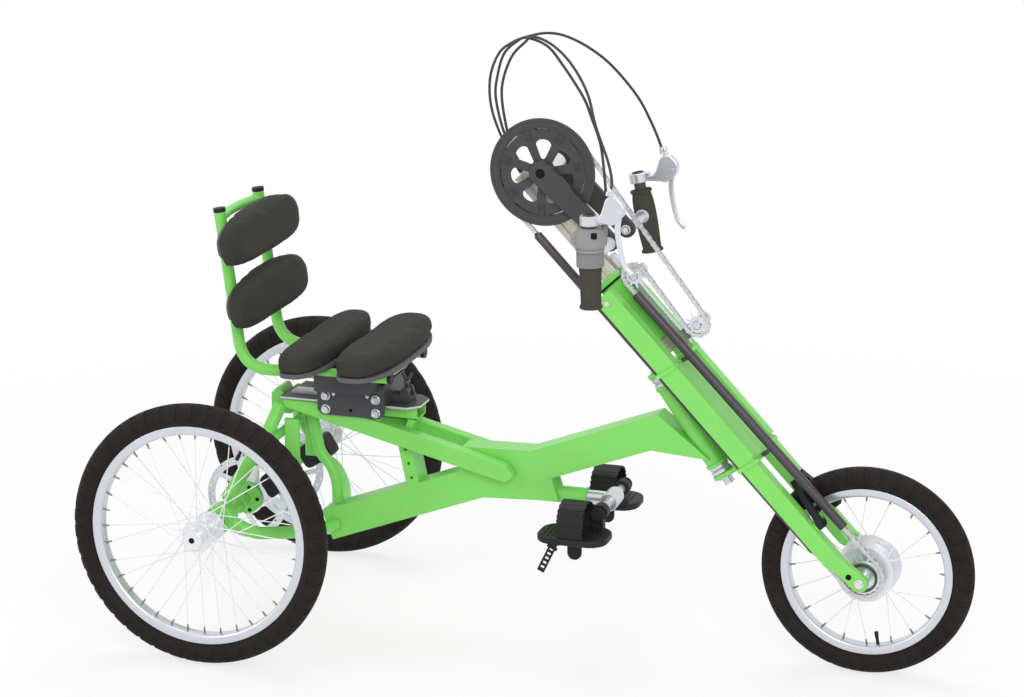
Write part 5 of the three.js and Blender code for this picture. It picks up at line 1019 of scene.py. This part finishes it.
parts = []
for i, (a, b) in enumerate(zip(joints, joints[1:] + joints[:1])):
    if (a - b).length > PITCH * LONGEST_LINK or hidden((a + b) / 2):
        continue
    outer = i % 2 == 0
    near = OUTER_PLATE if outer else INNER_PLATE
    parts += [side_plate(a, b, CHAIN_Y - near - PLATE_THICK), side_plate(a, b, CHAIN_Y + near)]
    for point in (a, b) if outer else ():
        for radius, half, sides in ((1.9, 4.4, 8), (3.8, 2.1, 10)):
            roller = disc(radius, -half, half, sides, bevel=0.3)
            parts.append(moved(roller, shift(point.x, CHAIN_Y, point.y)))
chain_links = together(*parts)
print("chain links:", len(chain_links.faces), "faces")
piece("chain_links", chain_links, "fork", chain_metal, FORK, "chain", crisp=50, weighted=False)


# %% Sprockets, idlers and guide tubes
IDLER_FACE = [(13, -2.4, 2.4, 9), (9.2, -5, 5, 4.4), (6.5, -5.6, -5, 4.4)]   # radius, low, high, bore
HUB_FACE = [(30, -2.2, 2.2, 24), (22.3, -1.2, 15.6, 6.5), (26, -1.8, -1.0, 20)]
for name, node, body, cap in (("high", "chain_idler_top", "idler_high", IDLER_FACE),
                              ("low", "chain_idler_tension", "idler_low", IDLER_FACE),
                              ("hub", "hub_sprocket", "sprocket", HUB_FACE)):
    softened(node, 0.35, polished_steel, 1)
    centre = SPROCKETS[name][1]
    rings = [disc(radius, low, high, 36, bore=bore, bevel=0.3) for radius, low, high, bore in cap]
    piece(f"{node}_face", moved(together(*rings), shift(centre.x, CHAIN_Y, centre.y)), body,
          polished_steel, FORK)
piece("dust_ring", disc(27, -47, -42.6, 40, bore=22.5, bevel=1.2), "sprocket", anodised_dark, FORK)


def guide(run, foot, top, outside):
    low, high = run_point(run, foot), run_point(run, top)
    along = high - low
    tube = lathe([(6.6, 0), (outside - 0.6, 0), (outside, 0.6), (outside, along.length - 0.6),
                  (outside - 0.6, along.length), (6.6, along.length), (6.6, 0)], 36)
    place = shift(low.x, CHAIN_Y, low.y) @ turn(atan2(along.x, along.y))
    return moved(upright(tube), place)


HEAD_N, HEAD_T = -83.9, 318.8       # the foot of the head tube, seen along the fork
HEAD_OFF_FORK = FORK_LEAN - HEAD_LEAN
clips = []
for along, front in ((200, 12), (-20, 9)):
    n, t = HEAD_N + sin(HEAD_OFF_FORK) * along, HEAD_T + cos(HEAD_OFF_FORK) * along
    edge = (front - n) / cos(HEAD_OFF_FORK)
    clip = block((edge + 0.3, edge + 13), (-5, 5), (-4, 4), 1)
    clips.append(moved(clip, shift(n, CHAIN_Y, t) @ turn(HEAD_OFF_FORK)))
piece("guide_front", together(guide("high", TUBE_FOOT, FRONT_TUBE_TOP, 9), *clips), "fork", guide_plastic,
      FORK, "chain_tube_front")
piece("guide_rear", guide("hub", TUBE_FOOT, REAR_TUBE_TOP, 8), "fork", guide_plastic, FORK,
      "chain_tube_rear")

# %% Front brake: arms, their bosses, shoe nuts and springs
for side, way in SIDES.items():
    softened(f"brake_arm_{side}", 1.4, black_nylon)
    boss = moved(lengthwise(together(disc(9.5, 9, 23, 32, bevel=1), bolt(4.5, 27))), shift(0, 66, 126))
    shoe_nut = moved(together(disc(6.5, 0, 4, 24), hexagon(5, 4, 8)), shift(15, 25, 145))
    coil = pipe([(26 + 1.5 * sin(k * 0.9), 66 + 7 * cos(k * 0.9), 126 + 7 * sin(k * 0.9))
                 for k in range(22)], 0.8, 8)
    piece(f"brake_boss_{side}", together(boss, shoe_nut, coil), f"arm_{side}", black_nylon, FORK @ way)


# %% [markdown]
# ## Cranks and guard
# Both cranks point the same way, so that the arms push and pull together. The guard is a moulded
# disc: a raised rim, seven windows between broad spokes and a narrow slit outside each window, where
# the ring behind shows. Its outline with the windows is extruded, and its rim is turned.

# %% Outlines of the guard
GUARD_RADIUS, GUARD_FACE, WINDOWS = 98, -49, 7
WINDOW_IN, WINDOW_OUT = 27, 59
FIRST_WINDOW = radians(88) + CRANK_DROP


def ribbon(route, widths):
    """The outline of a band along a route in X and Z, with its width at each point."""
    ends = [route[0] * 2 - route[1], *route, route[-1] * 2 - route[-2]]
    left, right = [], []
    for before, point, after, width in zip(ends, route, ends[2:], widths):
        along = (after - before).normalized()
        across = Vector((-along.z, 0, along.x)) * width / 2
        left.append(((point + across).x, (point + across).z))
        right.append(((point - across).x, (point - across).z))
    return [*left, *right[::-1]]


def window(turned):
    """One opening: narrow towards the axle, with rounded corners."""
    half = [(WINDOW_IN - 3, -2), (WINDOW_IN, -4.5), (WINDOW_OUT - 9, -14.5), (WINDOW_OUT - 4, -12.5),
            (WINDOW_OUT, -7)]
    corners = [*half, (WINDOW_OUT + 1, 0), *[(r, -w) for r, w in half[::-1]]]
    c, s = cos(turned), sin(turned)
    return [(r * c - w * s, r * s + w * c) for r, w in corners]


# %% Guard and chainring
SLIT_IN, SLIT_OUT, SLIT_HALF = 77.6, 80.6, radians(12)
APART = 2 * pi / WINDOWS
window_turns = [FIRST_WINDOW + i * APART for i in range(WINDOWS)]
edge = []
for middle in window_turns:
    edge += arc(0, 0, SLIT_IN, middle - SLIT_HALF, middle + SLIT_HALF, 6)
    edge += arc(0, 0, SLIT_OUT, middle + SLIT_HALF + 0.02, middle + APART - SLIT_HALF - 0.02, 6)
spider = slab(edge, GUARD_FACE, -46, [window(middle) for middle in window_turns], 0.9)
guard_rim = lathe([(80, -46), (96.6, -46), (GUARD_RADIUS, -47.2), (GUARD_RADIUS, -50), (97, -51),
                   (93.4, -51), (92.4, -49.8), (84, -49.8), (83, -50.8), (81, -50.8), (80, -50),
                   (80, -46)], 120)
extras = []
for middle in window_turns:
    out = turn(-(middle + APART / 2))
    for side in (-5.6, 5.6):
        rib = block((60, 79), (GUARD_FACE - 1.4, GUARD_FACE + 1), (side - 1.1, side + 1.1), 0.6)
        extras.append(moved(rib, out))
    extras.append(moved(bolt(4.2, 1.6), out @ shift(66, GUARD_FACE, 0) @ OTHER_SIDE))
ring = disc(24, GUARD_FACE - 1.6, GUARD_FACE + 0.5, 48, bore=9, bevel=0.8)
piece("guard", together(spider, guard_rim, ring, *extras), "cranks", guard_plastic, CRANK, "chain_guard")
softened("chainring", 0.35, polished_steel, 1)

# %% Crank arms, their caps and pins
ARM_IN, ARM_THICK, ARM_HUB, ARM_TIP, AXLE_RADIUS = 49.3, 13, 22, 16, 8.5
PIN_RADIUS, PIN_END = 6, 168
taper = asin((ARM_HUB - ARM_TIP) / CRANK_LENGTH)
arm_line = [*arc(0, 0, ARM_HUB, pi / 2 - taper, 1.5 * pi + taper, 28),
            *arc(CRANK_LENGTH, 0, ARM_TIP, -pi / 2 + taper, pi / 2 - taper, 22)]
for side, way in SIDES.items():
    blade = slab(arm_line, ARM_IN, ARM_IN + ARM_THICK, bevel=2.6, segments=3)
    collar = moved(disc(12, 0, 1.6, 40, bore=6, bevel=0.6), shift(CRANK_LENGTH, ARM_IN + ARM_THICK, 0))
    piece(f"crank_arm_{side}", together(blade, collar), "cranks", guard_plastic, CRANK @ way,
          "crank_arms" if side == "left" else ())
    cap = lathe([(0, 1.2), (4.4, 1.2), (4.4, 0.4), (8.6, 0.4), (9.6, -0.6), (0, -0.6)], 32)
    moved(cap, shift(0, ARM_IN + ARM_THICK, 0))
    inner_nut = moved(together(disc(9, -3, 0, 32, bore=6.5), hexagon(6, -5, -3)),
                      shift(CRANK_LENGTH, ARM_IN, 0))
    piece(f"crank_cap_{side}", cap, "cranks", shadow_black, CRANK @ way)
    pin = moved(disc(PIN_RADIUS, ARM_IN + 2, PIN_END, 24), shift(CRANK_LENGTH, 0, 0))
    piece(f"crank_pin_{side}", together(pin, inner_nut), "cranks", polished_steel, CRANK @ way)
piece("crank_axle", disc(AXLE_RADIUS, -ARM_IN - 4, ARM_IN + 4, 32), "cranks", polished_steel, CRANK)

# %% [markdown]
# ## Handles
# Each handle is an upright bar that turns on its crank pin through a short sleeve. It carries a foam
# grip with flared ends, a clamp with the cast house of the brake lever, and on the right a twist
# shifter. The blade of the lever is an outline with a tapering width, extruded and rounded.

# %% Sizes of the handles
HANDLE_Y, BAR_RADIUS, BAR_TOP = 185, 11, 80
BAR_FOOT = {"left": -72, "right": -88}
TILT = {"left": radians(12), "right": radians(1.5)}
GRIP_TOP = {"left": 47, "right": -13.3}
RING_LOW, RING_HIGH, RING_RADIUS = 60, 78, 17.4
PIVOT_X, PIVOT_Z, LEVER_LENGTH, LEVER_REACH = 52, 88, 110, 26
SHAPE_OF_GRIP = {  # radius of the foam, from its foot at 0 to its top at 1
    "left": lambda share: 16.8 + 3.8 * sin(pi * (1 - share) ** 0.75),
    "right": lambda share: 17.8 + 2.0 * share,
}
BLADE_LINE = [(0, 0), (-0.12, 0.24), (-0.04, 0.48), (0.3, 0.82), (0.58, 0.93), (0.95, 1)]
house_line = [(4, 63.6), (30, 64), (38, 62), (46, 66), (58, 78), (62, 84), (62.5, 96), (58, 104), (49, 113),
              (41, 114.5), (33, 114), (27, 108), (20, 84), (14, 76), (8, 74.4), (4, 74.4)]

# %% Both handles
for side, way in SIDES.items():
    body = f"hand_{side}"
    upright_bar = HAND @ way @ shift(0, HANDLE_Y, 0) @ turn(-TILT[side])
    foot = BAR_FOOT[side]
    bar = lathe([(0, BAR_TOP - 16), (8.7, BAR_TOP - 16), (8.7, BAR_TOP), (10.4, BAR_TOP),
                 (11, BAR_TOP - 0.6), (11, foot + 1), (10, foot), (0, foot)], 40)
    piece(f"bar_{side}", upright(bar), body, anodised_dark, upright_bar)
    sleeve = together(disc(BAR_RADIUS, 64, HANDLE_Y, 40, bevel=1), disc(12.6, 64, 72, 40, bevel=1.2),
                      disc(12.6, 158, 166, 40, bevel=1.2))
    clamp_ring = disc(RING_RADIUS, RING_LOW, RING_HIGH, 48, bore=11.2, bevel=1.4)
    ears = block((14, 24), (-6.5, 6.5), (RING_LOW + 2, RING_HIGH - 2), 1.5)
    screw = moved(lengthwise(bolt(3.4, 3)), shift(23.5, 0, 69))
    house = slab(house_line, -7.5, 7.5, bevel=3.2, segments=4)
    adjuster = lathe([(0, 0), (5.4, 0), (5.4, 7), (4.4, 8), (4.4, 11), (5.2, 12), (5.2, 17), (3.4, 20),
                      (2.6, 20), (0, 20)], 20)
    adjuster = moved(upright(adjuster), shift(38, 0, 110) @ turn(radians(-14)))
    plain = shift(0, HANDLE_Y, 0)
    tilted = plain @ turn(-TILT[side])
    metal = together(sleeve, moved(upright(clamp_ring), tilted), moved(ears, tilted), moved(screw, tilted),
                     moved(house, plain), moved(adjuster, plain))
    piece(f"handle_metal_{side}", metal, body, satin_aluminium, HAND @ way, f"handle_{side}")

    line = [(PIVOT_X + x * LEVER_REACH, 0, PIVOT_Z - z * LEVER_LENGTH) for x, z in BLADE_LINE]
    route = smooth_route(line, 8)
    share = [i / (len(route) - 1) for i in range(len(route))]
    widths = [10.5 - 5.5 * s + 3.2 * max(0, s - 0.8) / 0.2 for s in share]
    blade = moved(slab(ribbon(route, widths), -4.6, 4.6, bevel=2, segments=3), plain)
    knuckle = moved(together(disc(8, -4, 4, 32, bevel=1), disc(3.5, -8.2, 8.2, 24, bevel=0.6)),
                    shift(PIVOT_X, HANDLE_Y, PIVOT_Z))
    piece(f"blade_{side}", together(blade, knuckle), f"blade_{side}", polished_steel, HAND @ way,
          f"lever_{side}")

    low, high = foot, GRIP_TOP[side]
    waist = SHAPE_OF_GRIP[side]
    swell = [(low + (high - low) * i / 14, waist(i / 14)) for i in range(1, 14)]
    profile = [(0, low - 0.4), (16, low - 0.4), (19.8, low), (20.6, low + 1.6), (20.2, low + 4),
               (waist(0) + 0.6, low + 7), *[(r, z) for z, r in swell if low + 9 < z < high - 9],
               (waist(1) + 0.6, high - 8), (19.8, high - 5.4), (20.6, high - 3), (19.6, high - 0.6),
               (16, high), (11.3, high)]
    piece(f"foam_{side}", upright(lathe(profile, 48)), body, grip_foam, upright_bar, f"grip_{side}")

# %% Twist shifter: a ribbed ring, a rounded house with a window, and the outlet of its cable
RIGHT_BAR = HAND @ OTHER_SIDE @ shift(0, HANDLE_Y, 0) @ turn(-TILT["right"])
RIBS, RIB_TOP, RIB_FOOT = 56, 24.5, 23.4
teeth = [polar(RIB_TOP if i % 2 else RIB_FOOT, 2 * pi * i / RIBS) for i in range(RIBS)]
knurl = flat(teeth, -12.6, 11, bevel=0.3, segments=1)
lip = upright(disc(24.4, 10.8, 14, 48, bore=11.4, bevel=1))
piece("twist_ring", together(knurl, lip), "hand_right", shifter_dark, RIGHT_BAR)
shell = lathe([(11.4, 14.4), (24.5, 14.4), (25.4, 15.4), (25.4, 19.6), (24.2, 20.6), (26.6, 22), (28.6, 27),
               (29, 34), (28.2, 42), (25.6, 50), (21.4, 55), (17, 56.4), (11.4, 56.4), (11.4, 14.4)], 56)
nose = block((-32, -10), (-17, 17), (25, 48), 8, 4)
piece("shifter_house", together(upright(shell), nose), "shifter", shifter_light, RIGHT_BAR, "shifter_twist")
piece("shifter_window", block((10, 20), (22.5, 28.6), (42, 52.5), 1.2), "shifter", shadow_black, RIGHT_BAR)
outlet = pipe([(22, 6, 26), (22.6, 8, 44), (23, 11, 58), (23, 13, 70)], 6.2, 24, [1, 1, 0.86, 0.66])
piece("shifter_outlet", outlet, "hand_right", shifter_dark, HAND @ shift(0, -HANDLE_Y, 0))

# %% [markdown]
# ## Control cables
# Each cable is held at both ends: at a lever or the shifter, and at the open top of the mast. Its
# route is a given list of places, the same as in the CAD model, with a smooth line through.

# %% Cables and their ferrules
CABLE_RADIUS = 2.5
CABLE_ROUTES = {
    "left": [
        (725, 185, 897), (722, 184, 915), (708, 166, 961), (686, 147, 1011), (644, 129, 1066),
        (605, 110, 1101), (567, 91, 1123), (537, 73, 1130), (509, 54, 1126), (486, 35, 1118),
        (464, 17, 1099), (450, 8, 1056), (452, 7, 1003), (472, 6, 948), (499, 5, 904), (517, 4.5, 879.5),
    ],
    "shifter": [
        (718, -172, 850), (720, -172, 880), (712, -165, 946), (700, -146, 982), (680, -127, 1018),
        (658, -107, 1052), (613, -84, 1103), (578, -63, 1131), (535, -44, 1140), (509, -24, 1128),
        (481, -6, 1103), (467, 0, 1064), (463, 0, 1021), (479, 0, 957), (506, 0, 908), (522, 0, 884),
    ],
    "right": [
        (725, -185, 897), (733, -185, 918), (720, -164, 952), (692, -144, 1008), (670, -123, 1062),
        (635, -103, 1108), (594, -84, 1137), (554, -65, 1146), (531, -45, 1131), (502, -25, 1103),
        (482, -12, 1061), (477, -8, 1023), (486, -7, 966), (503, -6, 903), (517, -4.5, 879.5),
    ],
}


def ferrule(tip, towards, length=13):
    """A metal end sleeve round a cable, from its tip along its first stretch."""
    shape = lathe([(0, 0), (3.4, 0), (3.9, 0.6), (3.9, length - 4), (3.2, length - 3), (3.2, length - 0.5),
                   (2.4, length), (0, length)], 20)
    return moved(shape, pointed(tip, Vector(towards) - Vector(tip), "Y", "Z"))


sleeves = []
for name, route in CABLE_ROUTES.items():
    piece(f"cable_run_{name}", pipe(smooth_route(route, 14), CABLE_RADIUS, 16), "fork", cable_cover, BASE,
          f"cable_{name}", crisp=90, weighted=False)
    sleeves += [ferrule(route[0], route[1]), ferrule(route[-1], route[-2], 9)]
piece("cable_ferrules", together(*sleeves), "fork", polished_steel, BASE)


# %% [markdown]
# ## Room, light and camera
# The floor is pale and takes a soft shadow. What the camera and glossy metal see behind the
# tricycle is white, and the lamps stay at a plain level so that a colour renders as it is written.

# %% Floor and world
SKY_LEVEL = 0.56
FLOOR_HALF, FLOOR_ALBEDO = 30, 0.95
FLOOR_SHADOW, SHADOW_FADES, SHADOW_ENDS = 0.26, 1.1, 2.4


def seen_or_mirrored(tree):
    """1 where a ray comes from the camera, a reflection or a refraction."""
    path = add(tree, "ShaderNodeLightPath")
    total = path.outputs["Is Camera Ray"]
    for name in ("Is Glossy Ray", "Is Transmission Ray"):
        total = add(tree, "ShaderNodeMath", total, path.outputs[name], operation="MAXIMUM").outputs[0]
    return total


world = bpy.data.worlds.new("studio")
bpy.context.scene.world = world
world.use_nodes = True
sky = world.node_tree.nodes["Background"]
sky.inputs["Color"].default_value = (1, 1, 1, 1)
level = remap(world.node_tree, seen_or_mirrored(world.node_tree), 0, 1, SKY_LEVEL, 1)
world.node_tree.links.new(level, sky.inputs["Strength"])

pale = bpy.data.materials.new("pale_floor")
pale.use_nodes = True
tree = pale.node_tree
matt = tree.nodes["Principled BSDF"]
matt.inputs["Base Color"].default_value = (*[FLOOR_ALBEDO] * 3, 1)
matt.inputs["Roughness"].default_value = 0.9
place = add(tree, "ShaderNodeTexCoord").outputs["Object"]
reach = add(tree, "ShaderNodeVectorMath", place, operation="LENGTH").outputs["Value"]
fade = remap(tree, reach, SHADOW_FADES, SHADOW_ENDS, 1 - FLOOR_SHADOW, 1, interpolation_type="SMOOTHSTEP")
share = add(tree, "ShaderNodeMath", fade, seen_or_mirrored(tree), operation="MULTIPLY").outputs[0]
glow = add(tree, "ShaderNodeEmission").outputs[0]
blend = add(tree, "ShaderNodeMixShader", share, matt.outputs[0], glow).outputs[0]
tree.links.new(blend, tree.nodes["Material Output"].inputs["Surface"])

room = bmesh.new()
bmesh.ops.create_grid(room, x_segments=1, y_segments=1, size=FLOOR_HALF)
floor = placed("studio_floor", as_mesh(room, "studio_floor"))
floor.location.z = -0.0005
floor.data.materials.append(pale)


# %% Lamps
def lamp(name, where, aim, size, power):
    light = bpy.data.lights.new(name, "AREA")
    light.shape, light.size, light.energy = "DISK", size, power
    look_along(placed(name, light), where, Vector(aim) - Vector(where))


def look_along(obj, where, heading):
    obj.location = where
    obj.rotation_mode = "QUATERNION"
    obj.rotation_quaternion = heading.to_track_quat("-Z", "Y")


lamp("key", (2.2, -4.2, 3.2), (0, 0, 0.5), 2.6, 112)
lamp("fill", (-3.4, -2.6, 2.0), (0, 0, 0.5), 3.0, 38)
lamp("top", (-0.4, 1.4, 4.2), (0, 0, 0.4), 3.0, 60)

# %% Camera, at the photograph's place
EYE = Vector((1.5161, -4.9868, 2.0126))
AZIMUTH, ELEVATION = radians(17.58), radians(15.58)
looking = Vector((-sin(AZIMUTH) * cos(ELEVATION), cos(AZIMUTH) * cos(ELEVATION), -sin(ELEVATION)))
lens = bpy.data.cameras.new("photograph")
lens.sensor_width, lens.lens = 36, 103.73
camera = placed("photograph", lens)
look_along(camera, EYE, looking)
bpy.context.scene.camera = camera
bpy.context.scene.view_settings.view_transform = "Standard"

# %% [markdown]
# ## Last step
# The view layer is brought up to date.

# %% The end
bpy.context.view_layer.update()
